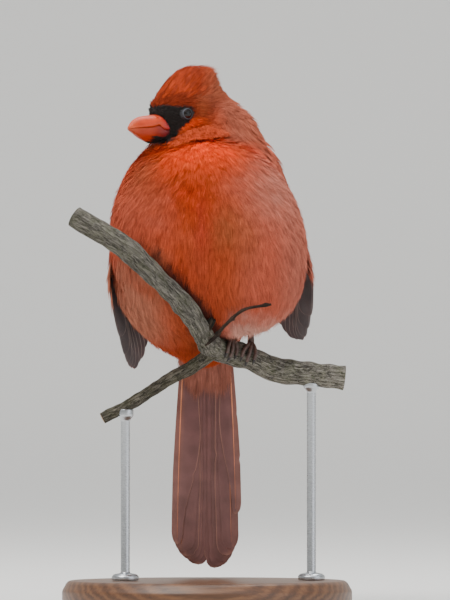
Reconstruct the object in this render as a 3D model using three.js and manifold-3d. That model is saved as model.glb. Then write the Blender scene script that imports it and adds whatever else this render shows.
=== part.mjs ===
// A male northern cardinal, fluffed up against the cold, gripping a cut length of forked branch
// that two rods hold above a turned wooden base. Millimetres, +Z up. The bird faces -Y, so its
// left side is +X. The origin is the middle of the base's underside.
import * as THREE from 'three';
import { mergeVertices } from 'three/addons/utils/BufferGeometryUtils.js';
import Module from 'manifold-3d';

const wasm = await Module();
wasm.setup();

// Gap that parts keep where they meet face to face, and what faceted forms need on top of it.
const gap = 0.3;
const clearance = { socket: 0.1, head: 0.45, bill: 0.15, limb: 0.15, fork: 0.1, body: 0.2 };

// Base with its stepped lip, and rods.
const base = { radius: 64, height: 10, lip: 2.5, bevel: 1, step: 2, groove: 1.2, rise: 1.8, shoulder: 3.2 };
const rod = { radius: 2, footRadius: 6, footHeight: 3, cupRadius: 3.6, cupHeight: 5 };

// Head frame: middle of the plane through both eyes, and the turn towards the bird's right.
const headPlace = new THREE.Vector3(-15.3, -6, 216.4);
const headTurn = THREE.MathUtils.degToRad(-142);

// Body forms, each a rounded mass: its middle, its half sizes and how square it is (2 is round).
const bodyForms = Object.values({
	chest: { at: [-1, -13.5, 162], half: [42, 31, 43], power: 2.1 },
	belly: { at: [7.5, -13, 151], half: [35.8, 30.5, 31.5], power: 2.6 },
	shoulder: { at: [-19, -7, 184], half: [16, 17, 15.5], power: 2 },
	back: { at: [0, 9, 160], half: [34.5, 25, 38], power: 2.1 },
	mantle: { at: [4, 7, 190], half: [26, 22, 20], power: 2 },
	rump: { at: [-0.5, 16, 133], half: [20, 17, 24], power: 2 },
	flank: { at: [-15.5, 1, 144], half: [25.5, 24, 28], power: 2 },
	thigh: { at: [-8, 7, 127], half: [20, 18, 17], power: 2.2 },
	vent: { at: [-2, 15, 117], half: [13.5, 11, 13], power: 2 },
	nape: { at: [3.5, 8.5, 204], half: [20.5, 16.5, 19], power: 2 },
	throat: { at: [-12, -6, 199], half: [14, 11, 8], power: 2 },
});
const bodyMiddle = new THREE.Vector3(0, 0, 160);
const bodyBlend = 2.6;

// The neck is the part of the body's skin that lies in this rounded space.
const neckRoom = { at: [1, 2, 213], half: [31, 28, 23], power: 2.2 };

// Head forms in the head's own frame: X to the bill, Y to the bird's left, Z up.
const headForms = Object.values({
	skull: { at: [-5, 0, 0], half: [14.5, 12.2, 12.5], power: 2 },
	crown: { at: [-9, 0, 7], half: [13.5, 7.5, 9.5], power: 2 },
	hindCrown: { at: [-18, 0, 2.5], half: [12.5, 9.5, 10], power: 2 },
	face: { at: [0, 0, -4.5], half: [8.3, 8.2, 8.6], power: 2 },
	forehead: { at: [5.6, 0, 1.4], half: [5.2, 4.6, 3.6], power: 2 },
	chin: { at: [5.5, 0, -12.2], half: [6, 5, 3.4], power: 2 },
});
const headMiddle = new THREE.Vector3(-4, 0, -1);
const headBlend = 1.4;

// Room under the crest that the neck keeps out of.
const crestRoom = { at: [-16, 0, 7.5], half: [14, 8.5, 12.5], power: 2 };

// Eye and lids.
const eye = { radius: 3, side: 9.1, ahead: 0, up: -0.8, lidRadius: 2.75, lidThick: 0.5, lidOut: 1.9 };

// Bill, along the head's X: reach, height of the ridge, of the mouth line and of the under edge,
// and half its width at each place.
const billStations = [
	{ ahead: 2.5, ridge: -1.6, mouth: -8, under: -12.2, wide: 5.9 },
	{ ahead: 6, ridge: -1.2, mouth: -7.9, under: -12.8, wide: 6 },
	{ ahead: 8.6, ridge: -1.1, mouth: -7.4, under: -13.3, wide: 5.8 },
	{ ahead: 11, ridge: -1.2, mouth: -5.8, under: -13.4, wide: 5.4 },
	{ ahead: 14.2, ridge: -1.6, mouth: -6.5, under: -13.1, wide: 4.8 },
	{ ahead: 18.4, ridge: -2.2, mouth: -6.9, under: -11.6, wide: 3.6 },
	{ ahead: 22.2, ridge: -4, mouth: -7.2, under: -9.4, wide: 1.9 },
	{ ahead: 24.6, ridge: -6.6, mouth: -7.6, under: -8.1, wide: 0.5 },
];
const nostril = { ahead: 10.4, side: 3.6, up: -2.6, radius: 0.75, stretch: 1.3 };

// Crest feathers: the line of their roots over the crown and the line that their tips reach.
const crestRoots = new THREE.CatmullRomCurve3([
	new THREE.Vector3(9.2, 0, 2.6),
	new THREE.Vector3(5, 0, 8.4),
	new THREE.Vector3(-2, 0, 10.5),
	new THREE.Vector3(-9, 0, 10),
	new THREE.Vector3(-16, 0, 5),
]);
const crestTips = new THREE.CatmullRomCurve3([
	new THREE.Vector3(1.2, 0, 15.6),
	new THREE.Vector3(-7.5, 0, 20.8),
	new THREE.Vector3(-16, 0, 21.6),
	new THREE.Vector3(-24.2, 0, 20.6),
	new THREE.Vector3(-27, 0, 14.5),
	new THREE.Vector3(-28, 0, 9.5),
]);
const crest = { files: 4, ranks: 5, spread: 128, sway: 8, halfWidth: 3.4, bow: 2.4, thick: 0.8 };
const crestBreadth = { front: 2.2, back: 6, tips: 4, widening: 2.5, rootDrop: 2, tipDrop: 2.4 };

// Wings: the folded wing hugs the body from the shoulder down, then hangs clear of it. Angles are
// turned from the front, round an upright axis through the body.
const wingAxis = new THREE.Vector2(0, -4);
const wingLead = THREE.MathUtils.degToRad(99);
const wingRound = 42;
const wings = {
	left: { side: 1, hangFrom: 162, flare: 4.6, drift: 0, drop: 0 },
	right: { side: -1, hangFrom: 158, flare: 1.6, drift: 0.19, drop: -12.5 },
};
const wingFlareRun = 20;
const wingDropFrom = 165;
const wingDropRun = 50;
const wingClear = 0.9;

// Close to its leading edge a wing stands out by this share of its height, all of it further back.
const wingInset = { share: 0.4, run: 16 };

// Feather vanes: thickness, the shares of it at the edges, along the shaft and at the very tip.
const vane = { thick: 0.6, edge: 0.85, shaft: 1.15, tip: 0.6, tipFrom: 0.97 };

// Pad of flesh and down that carries the wing's feathers, from its top down.
const wingPad = [
	{ height: 193, thick: 0.6, from: 9, to: 27 },
	{ height: 187, thick: 4.2, from: 4, to: 34 },
	{ height: 176, thick: 5, from: 3, to: 38 },
	{ height: 163, thick: 2.6, from: 4, to: 30 },
];
const wingPadSink = -1.6;

// Tail: where it leaves the body, how far it leans back, and its feathers from the middle pair out.
// Each pair lies a step under the one before it, and the tail is bowed across.
const tail = { x: -0.4, y: 23, z: 118, lean: THREE.MathUtils.degToRad(14.5), bow: 0.012 };
const tailPairs = 6;
const tailStep = 0.42;

// Tail feathers from the middle pair to the outermost: spread of roots and tips, and the widths of
// the outer and inner web.
const tailVanes = { root: [0.5, 9.4], tip: [3.6, 13], outer: [6.2, 2.6], inner: [5, 8.5], above: -3, bow: 1.2 };
const tailLeftLift = 0.2;

// Reach of each tail feather from the middle pair out, on the bird's right and left side.
const tailReach = { right: [105.5, 104, 103, 101.5, 99, 96], left: [107, 106, 104, 101, 98, 82] };

// Rows of coverts over the tail's root, two under it and two on top, and the flesh that carries all.
const tailCoverts = [
	{ count: 5, reach: 31, lift: [4.2, 2.6] },
	{ count: 4, reach: 21, lift: [5.6, 3.4] },
	{ count: 5, reach: 26, lift: [-1.8, -0.9] },
	{ count: 4, reach: 16, lift: [-2.8, -1.6] },
];
const tailCovert = { root: 8.2, tip: 9.6, half: 4.6, shorter: 5 };
const tailCore = { half: [12, 8.2, 15], at: [-0.6, -4.5, -5] };

// Branch: middle line of the main limb from its cut upper end to its cut right end.
const limbPoints = [
	{ at: [-58, -37, 170.2], radius: 4.7 },
	{ at: [-35.2, -43.5, 156.1], radius: 4.6 },
	{ at: [-26, -45, 147.8], radius: 4.5 },
	{ at: [-17.4, -44.5, 139], radius: 4.6 },
	{ at: [-10.3, -43, 131.7], radius: 4.5 },
	{ at: [-5.5, -39.5, 125.2], radius: 4.5 },
	{ at: [-2.2, -31.5, 119], radius: 4.6 },
	{ at: [1.2, -18, 114.2], radius: 4.8 },
	{ at: [7.2, -7, 111.4], radius: 5.2 },
	{ at: [18.9, -4, 107.9], radius: 5 },
	{ at: [28.9, -3, 103.3], radius: 5.4 },
	{ at: [45.3, -1, 101.1], radius: 5.3 },
	{ at: [60.5, 0, 99.4], radius: 5.5 },
];
const forkPoints = [
	{ at: [3, -14, 111], radius: 3.2 },
	{ at: [-7, -10, 103.8], radius: 2.9 },
	{ at: [-16.3, -7.2, 98.9], radius: 2.8 },
	{ at: [-34, -8.5, 87.9], radius: 2.6 },
	{ at: [-46, -9.5, 81.6], radius: 2.6 },
];
const twigPoints = [
	{ at: [-2, -27, 113.5], radius: 0.95 },
	{ at: [2.6, -34, 116.6], radius: 0.85 },
	{ at: [8.4, -40.5, 123], radius: 0.75 },
	{ at: [16.3, -44.5, 129.5], radius: 0.7 },
	{ at: [28.2, -44.5, 131.8], radius: 0.5 },
];

// Where each rod stands, and how high its cup reaches before the branch is cut out of it.
const rodOnLimb = { x: 46, y: -1, top: 99 };
const rodOnFork = { x: -36, y: -8.6, top: 85 };

// Feet: how far to the bird's left each stands on the limb, the toes with the sideways spread and
// the turn round the limb in degrees, and the shank from the limb up to the knee.
const feet = { left: 17, right: 6.5 };
const toes = [
	{ spread: -2.8, turn: 108 },
	{ spread: 0, turn: 122 },
	{ spread: 2.8, turn: 104 },
	{ spread: 0.4, turn: -112 },
];
const toeRadius = 1.05;
const clawFrom = 0.78;
const shank = { back: 3, rise: 12, ankle: 1.7, middle: 1.35, knee: 2.2 };

// Seeded draw, so that every build is the same.
function seededDraw(seed) {
	let state = seed >>> 0;
	return function draw() {
		state = (state + 0x6d2b79f5) >>> 0;
		let value = Math.imul(state ^ (state >>> 15), 1 | state);
		value = (value + Math.imul(value ^ (value >>> 7), 61 | value)) ^ value;
		return ((value ^ (value >>> 14)) >>> 0) / 4294967296;
	};
}

// A closed geometry as a solid that can be joined and cut.
function solidOf(geometry) {
	const bare = geometry.clone();
	for (const name of Object.keys(bare.attributes)) {
		if (name !== 'position') bare.deleteAttribute(name);
	}
	const merged = mergeVertices(bare, 1e-4);
	return new wasm.Manifold(new wasm.Mesh({
		numProp: 3,
		vertProperties: new Float32Array(merged.attributes.position.array),
		triVerts: new Uint32Array(merged.index.array),
	}));
}

// The solid's largest closed surface as a geometry.
function geometryOf(solid) {
	const bodies = solid.decompose();
	bodies.sort((a, b) => b.volume() - a.volume());
	const mesh = bodies[0].getMesh();
	const geometry = new THREE.BufferGeometry();
	geometry.setAttribute('position', new THREE.BufferAttribute(new Float32Array(mesh.vertProperties), 3));
	geometry.setIndex(new THREE.BufferAttribute(new Uint32Array(mesh.triVerts), 1));
	geometry.computeVertexNormals();
	return geometry;
}

function joined(solids) {
	return wasm.Manifold.union(solids);
}

// Rough distance from a point to one rounded mass, below zero inside it.
function formDistance(form, x, y, z) {
	const dx = x - form.at[0];
	const dy = y - form.at[1];
	const dz = z - form.at[2];
	const share = (Math.abs(dx / form.half[0]) ** form.power
		+ Math.abs(dy / form.half[1]) ** form.power
		+ Math.abs(dz / form.half[2]) ** form.power) ** (1 / form.power);
	if (share < 1e-6) return -Math.min(...form.half);
	return (share - 1) * Math.hypot(dx, dy, dz) / share;
}

// Distance to several masses melted together.
function bodyDistance(forms, blend, x, y, z) {
	let total = 0;
	for (const form of forms) {
		total += Math.exp(-formDistance(form, x, y, z) / blend);
	}
	return -blend * Math.log(total);
}

// How far a ray from inside runs until it stands `offset` outside the masses.
function reachOf(forms, blend, from, direction, offset = 0) {
	let near = 0;
	let far = 120;
	for (let step = 0; step < 34; step += 1) {
		const middle = (near + far) / 2;
		const outside = bodyDistance(
			forms,
			blend,
			from.x + direction.x * middle,
			from.y + direction.y * middle,
			from.z + direction.z * middle,
		) > offset;
		if (outside) far = middle;
		else near = middle;
	}
	return (near + far) / 2;
}

// Skin over the masses: an even ball of triangles, each corner moved out to the surface.
function skinGeometry(forms, blend, middle, detail, offset = 0) {
	const ball = new THREE.IcosahedronGeometry(1, detail);
	ball.deleteAttribute('normal');
	ball.deleteAttribute('uv');
	const geometry = mergeVertices(ball, 1e-5);
	const position = geometry.attributes.position;
	const direction = new THREE.Vector3();
	for (let index = 0; index < position.count; index += 1) {
		direction.fromBufferAttribute(position, index).normalize();
		const reach = reachOf(forms, blend, middle, direction, offset);
		direction.multiplyScalar(reach).add(middle);
		position.setXYZ(index, direction.x, direction.y, direction.z);
	}
	return geometry;
}

// Closed strip from stations that run across it, each a row of pairs: a point of the inner face
// and one of the outer face. Both faces are split into triangles alike.
function stripGeometry(stations) {
	const corners = [];
	const columns = stations[0].length;
	const ring = columns * 2;
	for (const station of stations) {
		const around = [
			...station.map((pair) => pair.inner),
			...station.map((pair) => pair.outer).reverse(),
		];
		for (const point of around) corners.push(point.x, point.y, point.z);
	}
	const faces = [];
	const last = (stations.length - 1) * ring;
	for (let row = 0; row < stations.length - 1; row += 1) {
		const a = row * ring;
		const b = a + ring;
		for (let column = 0; column < columns - 1; column += 1) {
			const inner = column;
			const outer = ring - 1 - column;
			faces.push(a + inner, a + inner + 1, b + inner + 1, a + inner, b + inner + 1, b + inner);
			faces.push(a + outer - 1, a + outer, b + outer - 1, a + outer, b + outer, b + outer - 1);
		}
		const end = a + columns - 1;
		faces.push(end, end + 1, b + columns, end, b + columns, b + columns - 1);
		faces.push(a + ring - 1, a, b, a + ring - 1, b, b + ring - 1);
	}
	for (let column = 0; column < columns - 1; column += 1) {
		const inner = column;
		const outer = ring - 1 - column;
		faces.push(inner, outer, inner + 1, inner + 1, outer, outer - 1);
		faces.push(last + inner, last + inner + 1, last + outer);
		faces.push(last + inner + 1, last + outer - 1, last + outer);
	}
	const geometry = new THREE.BufferGeometry();
	geometry.setAttribute('position', new THREE.Float32BufferAttribute(corners, 3));
	geometry.setIndex(faces);
	return geometry;
}

// A closed geometry as a solid with its faces pointing out.
function outward(geometry) {
	const solid = solidOf(geometry);
	if (solid.volume() > 0) return solid;
	const index = geometry.index.array;
	for (let face = 0; face < index.length; face += 3) {
		const swap = index[face];
		index[face] = index[face + 1];
		index[face + 1] = swap;
	}
	return solidOf(geometry);
}

function stripSolid(stations) {
	return outward(stripGeometry(stations));
}

// Outline of a contour feather: share of its length and share of its half width there.
const roundTip = [[0, 0.6], [0.45, 1], [0.84, 0.86], [1, 0.3]];
const longTip = [[0, 0.5], [0.36, 0.94], [0.84, 1], [0.96, 0.7], [1, 0.24]];

// A vane laid on a guide surface. `place(across, down, lift)` gives a point of the guide.
// `feather` has its root and tip as [across, down], its bend, the width on either side of the
// shaft, its lifts at root and tip, and the slope of its vane across.
function guidedVane(place, feather) {
	const root = new THREE.Vector2(...feather.root);
	const tip = new THREE.Vector2(...feather.tip);
	const run = tip.clone().sub(root);
	const side = new THREE.Vector2(-run.y, run.x).normalize();
	const middle = root.clone().add(tip).multiplyScalar(0.5).addScaledVector(side, feather.bend ?? 0);
	const line = new THREE.QuadraticBezierCurve(root, middle, tip);
	const stations = [];
	for (const [share, width] of feather.outline) {
		const at = line.getPoint(share);
		const along = line.getTangent(share);
		const across = new THREE.Vector2(-along.y, along.x);
		const lift = THREE.MathUtils.lerp(feather.lift[0], feather.lift[1], share);
		const thick = feather.thick * (share > vane.tipFrom ? vane.tip : 1);
		const edge = (reach) => {
			const x = at.x + across.x * reach * width;
			const y = at.y + across.y * reach * width;
			const low = lift - feather.slope * reach * width;
			return { inner: place(x, y, low), outer: place(x, y, low + thick * vane.edge) };
		};
		const row = [edge(-feather.half[0]), edge(feather.half[1])];
		if (feather.shaft) {
			const ridge = lift + thick * vane.shaft;
			row.splice(1, 0, { inner: place(at.x, at.y, lift), outer: place(at.x, at.y, ridge) });
		}
		stations.push(row);
	}
	return stripSolid(stations);
}

// A vane in free space: its shaft from root to tip over a bowed line, its flat facing `facing`.
function freeVane(root, bow, tip, facing, half, thick, outline) {
	const line = new THREE.QuadraticBezierCurve3(root, bow, tip);
	const stations = [];
	for (const [share, width] of outline) {
		const at = line.getPoint(share);
		const across = new THREE.Vector3().crossVectors(line.getTangent(share), facing).normalize();
		const up = new THREE.Vector3().crossVectors(across, line.getTangent(share)).normalize();
		const deep = thick * (share > vane.tipFrom ? vane.tip : 1);
		const edge = (reach) => {
			const point = at.clone().addScaledVector(across, reach * width);
			return { inner: point, outer: point.clone().addScaledVector(up, deep * vane.edge) };
		};
		stations.push([edge(-half), edge(half)]);
	}
	return stripSolid(stations);
}

// A round limb of changing thickness along a smooth line.
function limbGeometry(points, steps, sides, grow = 0) {
	const line = new THREE.CatmullRomCurve3(points.map((point) => new THREE.Vector3(...point.at)));
	const frames = line.computeFrenetFrames(steps, false);
	const corners = [];
	const faces = [];
	for (let step = 0; step <= steps; step += 1) {
		const share = step / steps;
		const centre = line.getPointAt(share);
		const knot = line.getUtoTmapping(share) * (points.length - 1);
		const before = Math.min(Math.floor(knot), points.length - 2);
		const radius = grow + THREE.MathUtils.lerp(
			points[before].radius,
			points[before + 1].radius,
			knot - before,
		);
		for (let side = 0; side < sides; side += 1) {
			const turn = side / sides * Math.PI * 2;
			const out = frames.normals[step].clone().multiplyScalar(Math.cos(turn))
				.addScaledVector(frames.binormals[step], Math.sin(turn));
			const corner = centre.clone().addScaledVector(out, radius);
			corners.push(corner.x, corner.y, corner.z);
		}
	}
	for (let step = 0; step < steps; step += 1) {
		for (let side = 0; side < sides; side += 1) {
			const a = step * sides + side;
			const b = step * sides + (side + 1) % sides;
			faces.push(a, b, b + sides, a, b + sides, a + sides);
		}
	}
	const first = corners.length / 3;
	const start = line.getPointAt(0);
	const end = line.getPointAt(1);
	corners.push(start.x, start.y, start.z, end.x, end.y, end.z);
	for (let side = 0; side < sides; side += 1) {
		const next = (side + 1) % sides;
		faces.push(first, next, side);
		faces.push(first + 1, steps * sides + side, steps * sides + next);
	}
	const geometry = new THREE.BufferGeometry();
	geometry.setAttribute('position', new THREE.Float32BufferAttribute(corners, 3));
	geometry.setIndex(faces);
	return geometry;
}

function limbSolid(points, steps, sides, grow = 0) {
	return outward(limbGeometry(points, steps, sides, grow));
}

// Half of the bill, lofted between the mouth line and its ridge or its under edge.
function billSolid(upper) {
	const arc = 8;
	const corners = [];
	const faces = [];
	const ring = arc + 1;
	for (const station of billStations) {
		const flat = upper ? station.mouth + gap / 2 : station.mouth - gap / 2;
		const peak = upper ? station.ridge : station.under;
		const width = upper ? station.wide : station.wide * 0.94;
		for (let step = 0; step <= arc; step += 1) {
			const turn = step / arc * Math.PI;
			const out = Math.cos(turn);
			const rise = Math.sin(turn) ** 0.8;
			const side = width * Math.sign(out) * Math.abs(out) ** 0.85;
			corners.push(station.ahead, side, flat + (peak - flat) * rise);
		}
	}
	for (let row = 0; row < billStations.length - 1; row += 1) {
		for (let step = 0; step < ring; step += 1) {
			const a = row * ring + step;
			const b = row * ring + (step + 1) % ring;
			faces.push(a, b, b + ring, a, b + ring, a + ring);
		}
	}
	const last = (billStations.length - 1) * ring;
	for (let step = 1; step < arc; step += 1) {
		faces.push(0, step + 1, step);
		faces.push(last, last + step, last + step + 1);
	}
	const geometry = new THREE.BufferGeometry();
	geometry.setAttribute('position', new THREE.Float32BufferAttribute(corners, 3));
	geometry.setIndex(faces);
	return outward(geometry);
}

function ballSolid(x, y, z, radius, detail, stretch = 1) {
	const ball = new THREE.IcosahedronGeometry(radius, detail);
	ball.scale(stretch, 1, 1);
	ball.translate(x, y, z);
	return solidOf(ball);
}

// Head with its crest, eye sockets and lids, in the head's own frame.
function headSolid() {
	const draw = seededDraw(11);
	const pieces = [solidOf(skinGeometry(headForms, headBlend, headMiddle, 6))];
	for (let rank = 0; rank < crest.ranks; rank += 1) {
		for (let file = 0; file < crest.files; file += 1) {
			const share = Math.min(1, (rank + (file % 2) * 0.5) / (crest.ranks - 0.5));
			const lean = (file / (crest.files - 1) - 0.5) * crest.spread;
			const angle = THREE.MathUtils.degToRad(lean + (draw() - 0.5) * crest.sway);
			const aside = Math.sin(angle);
			const root = crestRoots.getPointAt(share);
			const tip = crestTips.getPointAt(share);
			const along = tip.clone().sub(root).normalize();
			const facing = new THREE.Vector3(0, 1, 0).cross(along).multiplyScalar(-Math.cos(angle));
			facing.y = aside;
			if (facing.z < 0) facing.multiplyScalar(-1);
			const widened = Math.min(1, share * crestBreadth.widening);
			root.y = aside * THREE.MathUtils.lerp(crestBreadth.front, crestBreadth.back, widened);
			root.z -= aside * aside * crestBreadth.rootDrop;
			tip.y = aside * crestBreadth.tips + (draw() - 0.5);
			tip.z -= aside * aside * crestBreadth.tipDrop + draw() * crest.thick;
			const bow = root.clone().lerp(tip, 0.5).addScaledVector(facing, crest.bow);
			pieces.push(freeVane(root, bow, tip, facing, crest.halfWidth, crest.thick, roundTip));
		}
	}
	for (const side of [-1, 1]) {
		const lid = new THREE.TorusGeometry(eye.lidRadius, eye.lidThick, 5, 14);
		lid.rotateX(Math.PI / 2);
		lid.translate(eye.ahead, side * (eye.side + eye.lidOut), eye.up);
		pieces.push(solidOf(lid));
	}
	let head = joined(pieces);
	for (const side of [-1, 1]) {
		head = head.subtract(ballSolid(eye.ahead, side * eye.side, eye.up, eye.radius + gap + clearance.socket, 3));
	}
	return head;
}

// Place on the folded wing: `across` runs back from its leading edge, `down` is the height.
function wingPlace(wing, across, height, lift) {
	const turn = wingLead + across / wingRound;
	const direction = new THREE.Vector3(wing.side * Math.sin(turn), -Math.cos(turn), 0);
	const level = Math.max(height, wing.hangFrom);
	const from = new THREE.Vector3(wingAxis.x, wingAxis.y, level);
	const hang = wing.hangFrom - Math.min(height, wing.hangFrom);
	const flare = wing.flare * THREE.MathUtils.smoothstep(hang, 0, wingFlareRun);
	const drift = wing.drift * Math.max(0, hang - wingFlareRun);
	const rounding = THREE.MathUtils.smoothstep(across, 0, wingInset.run);
	const inset = THREE.MathUtils.lerp(wingInset.share, 1, rounding);
	const stand = wingClear + (lift > 0 ? lift * inset : lift);
	const reach = reachOf(bodyForms, bodyBlend, from, direction) + stand + flare - drift;
	return new THREE.Vector3(
		wingAxis.x + direction.x * reach,
		wingAxis.y + direction.y * reach,
		height,
	);
}

// Rows of wing feathers, from the body outwards: the first and last root and tip, with the longest
// feather's place in the row, and how far it passes a straight line between the two tips, rounding
// off like a sine to the power `blunt`. `slope` is how much each vane dips towards its hind edge, so
// that it slips under the next.
const wingRows = Object.values({
	primaries: {
		count: 8, shaft: true, slope: 0.25,
		roots: [[3, 166], [17, 163]], tips: [[2.6, 122], [24.5, 122]],
		longest: 0.4, passes: 7, blunt: 0.55, lift: [1.9, 1.6], half: [2.6, 5.4],
	},
	secondaries: {
		count: 5, shaft: true, slope: 0.23,
		roots: [[14, 172], [28, 171]], tips: [[18, 138.5], [34, 146]],
		longest: 0.5, passes: 1.5, lift: [4.2, 3.4], half: [2.9, 5],
	},
	tertials: {
		count: 3, shaft: false, slope: 0.2,
		roots: [[29, 172], [37, 172]], tips: [[31, 149], [39.5, 157]],
		longest: 0.5, passes: 0, lift: [4.9, 4.2], half: [4, 4.6],
	},
	primaryCoverts: {
		count: 4, shaft: false, slope: 0.2,
		roots: [[4.5, 177], [13, 176]], tips: [[5.5, 163], [17, 162]],
		longest: 0.5, passes: 0.5, lift: [3.8, 3.6], half: [2.2, 4],
	},
	greaterCoverts: {
		count: 4, shaft: false, slope: 0.18,
		roots: [[15, 180], [33, 179]], tips: [[19, 163.5], [37, 167]],
		longest: 0.5, passes: 0.5, lift: [5.2, 5], half: [3.2, 5.2],
	},
	medianCoverts: {
		count: 4, shaft: false, slope: 0.14,
		roots: [[8, 187], [30, 187]], tips: [[9, 175.5], [33, 177]],
		longest: 0.5, passes: 0.8, lift: [5.2, 5.6], half: [4, 5],
	},
});

function wingSolid(wing, seed) {
	const draw = seededDraw(seed);
	const place = (across, height, lift) => {
		const hanging = THREE.MathUtils.clamp((wingDropFrom - height) / wingDropRun, 0, 1);
		return wingPlace(wing, across, height + wing.drop * hanging, lift);
	};
	const pad = wingPad.map(({ height, thick, from, to }) => [
		{ inner: place(from, height, wingPadSink), outer: place(from, height, thick * 0.45) },
		{ inner: place((from + to) / 2, height, wingPadSink), outer: place((from + to) / 2, height, thick) },
		{ inner: place(to, height, wingPadSink), outer: place(to, height, thick * 0.6) },
	]);
	const pieces = [stripSolid(pad)];
	for (const row of wingRows) {
		for (let index = 0; index < row.count; index += 1) {
			const share = index / (row.count - 1);
			const long = share < row.longest ? share / row.longest : (1 - share) / (1 - row.longest);
			const tip = [
				THREE.MathUtils.lerp(row.tips[0][0], row.tips[1][0], share),
				THREE.MathUtils.lerp(row.tips[0][1], row.tips[1][1], share),
			];
			const passes = row.passes * Math.sin(long * Math.PI / 2) ** (row.blunt ?? 1);
			pieces.push(guidedVane(place, {
				root: [
					THREE.MathUtils.lerp(row.roots[0][0], row.roots[1][0], share),
					THREE.MathUtils.lerp(row.roots[0][1], row.roots[1][1], share),
				],
				tip: [
					tip[0] + (draw() - 0.5) * 0.3,
					tip[1] - passes + (draw() - 0.5),
				],
				bend: -1,
				half: row.half,
				lift: row.lift,
				slope: row.slope,
				thick: vane.thick,
				outline: row.shaft ? longTip : roundTip,
				shaft: row.shaft,
			}));
		}
	}
	return joined(pieces);
}

// Place on the tail: across to the bird's left, down the tail and out of its underside.
function tailPlace(across, down, lift) {
	const out = lift - across * across * tail.bow;
	return new THREE.Vector3(
		tail.x + across,
		tail.y + down * Math.sin(tail.lean) - out * Math.cos(tail.lean),
		tail.z - down * Math.cos(tail.lean) - out * Math.sin(tail.lean),
	);
}

function tailSolid() {
	const pieces = [];
	for (const [name, side] of [['right', -1], ['left', 1]]) {
		for (let pair = 0; pair < tailPairs; pair += 1) {
			const share = pair / (tailPairs - 1);
			const lift = pair * tailStep + (side > 0 ? tailLeftLift : 0);
			const between = (pairOf) => THREE.MathUtils.lerp(pairOf[0], pairOf[1], share);
			const webs = [between(tailVanes.outer), between(tailVanes.inner)];
			pieces.push(guidedVane(tailPlace, {
				root: [side * between(tailVanes.root), tailVanes.above],
				tip: [side * between(tailVanes.tip), tailReach[name][pair]],
				bend: -side * tailVanes.bow * share,
				half: side > 0 ? webs : webs.reverse(),
				lift: [lift, lift],
				slope: 0,
				thick: vane.thick + 0.1,
				outline: longTip,
				shaft: true,
			}));
		}
	}
	for (const row of tailCoverts) {
		for (let index = 0; index < row.count; index += 1) {
			const share = index / (row.count - 1) * 2 - 1;
			pieces.push(guidedVane(tailPlace, {
				root: [share * tailCovert.root, 0],
				tip: [share * tailCovert.tip, row.reach - Math.abs(share) * tailCovert.shorter],
				bend: 0,
				half: [tailCovert.half, tailCovert.half],
				lift: row.lift,
				slope: 0,
				thick: vane.thick + 0.2,
				outline: roundTip,
				shaft: false,
			}));
		}
	}
	const core = new THREE.IcosahedronGeometry(1, 4);
	core.scale(...tailCore.half);
	core.rotateX(tail.lean);
	core.translate(tail.x + tailCore.at[0], tail.y + tailCore.at[1], tail.z + tailCore.at[2]);
	pieces.push(solidOf(core));
	return joined(pieces);
}

// Foot and leg: three toes over the front of the limb, one behind, and the shank up to the belly.
function legSolid(x) {
	const line = new THREE.CatmullRomCurve3(limbPoints.map((point) => new THREE.Vector3(...point.at)));
	let share = 0;
	while (line.getPointAt(share).x < x) share += 0.002;
	const centre = line.getPointAt(share);
	const along = line.getTangentAt(share);
	const knot = line.getUtoTmapping(share) * (limbPoints.length - 1);
	const before = Math.floor(knot);
	const limbRadius = THREE.MathUtils.lerp(
		limbPoints[before].radius,
		limbPoints[before + 1].radius,
		knot - before,
	);
	const ahead = new THREE.Vector3(0, -1, 0);
	ahead.addScaledVector(along, -ahead.dot(along)).normalize();
	const up = new THREE.Vector3().crossVectors(ahead, along).normalize();
	if (up.z < 0) up.negate();
	const around = (turn, shift, clear) => {
		const reach = limbRadius + gap + clear;
		return centre.clone()
			.addScaledVector(up, Math.cos(turn) * reach)
			.addScaledVector(ahead, Math.sin(turn) * reach)
			.addScaledVector(along, shift);
	};
	const pieces = [];
	for (const toe of toes) {
		const points = [];
		for (let step = 0; step <= 6; step += 1) {
			const part = step / 6;
			const turn = THREE.MathUtils.degToRad(toe.turn * part);
			const claw = Math.max(0, part - clawFrom) / (1 - clawFrom);
			const radius = toeRadius * THREE.MathUtils.lerp(1.1, 0.8, part) * (1 - claw * 0.62);
			const spot = around(turn, toe.spread * Math.min(1, part * 1.6), toeRadius * 1.25);
			points.push({ at: spot.toArray(), radius });
		}
		pieces.push(limbSolid(points, 7, 6));
	}
	const ankle = around(0, 0, toeRadius * 1.2);
	const knee = ankle.clone().add(new THREE.Vector3(0, shank.back, shank.rise));
	pieces.push(limbSolid([
		{ at: ankle.toArray(), radius: shank.ankle },
		{ at: ankle.clone().lerp(knee, 0.5).toArray(), radius: shank.middle },
		{ at: knee.toArray(), radius: shank.knee },
	], 4, 8));
	return joined(pieces);
}

// The whole object.
const group = new THREE.Group();
const bird = new THREE.Group();
const perch = new THREE.Group();
const stand = new THREE.Group();
group.add(bird, perch, stand);

function addMesh(parent, name, geometry, color, roughness, metalness = 0) {
	const material = new THREE.MeshStandardMaterial({ color, roughness, metalness });
	const mesh = new THREE.Mesh(geometry, material);
	mesh.name = name;
	parent.add(mesh);
	return mesh;
}

const plumage = 0xd8401f;
const plumageDeep = 0xb93420;
const wingBrown = 0x4b4140;
const tailBrown = 0x7a3427;
const horn = 0xee6a45;
const eyeBlack = 0x14100e;
const shankBrown = 0x5a4038;
const bark = 0x6b6a5c;
const wood = 0x5d4632;
const steel = 0x8f9194;

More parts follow.
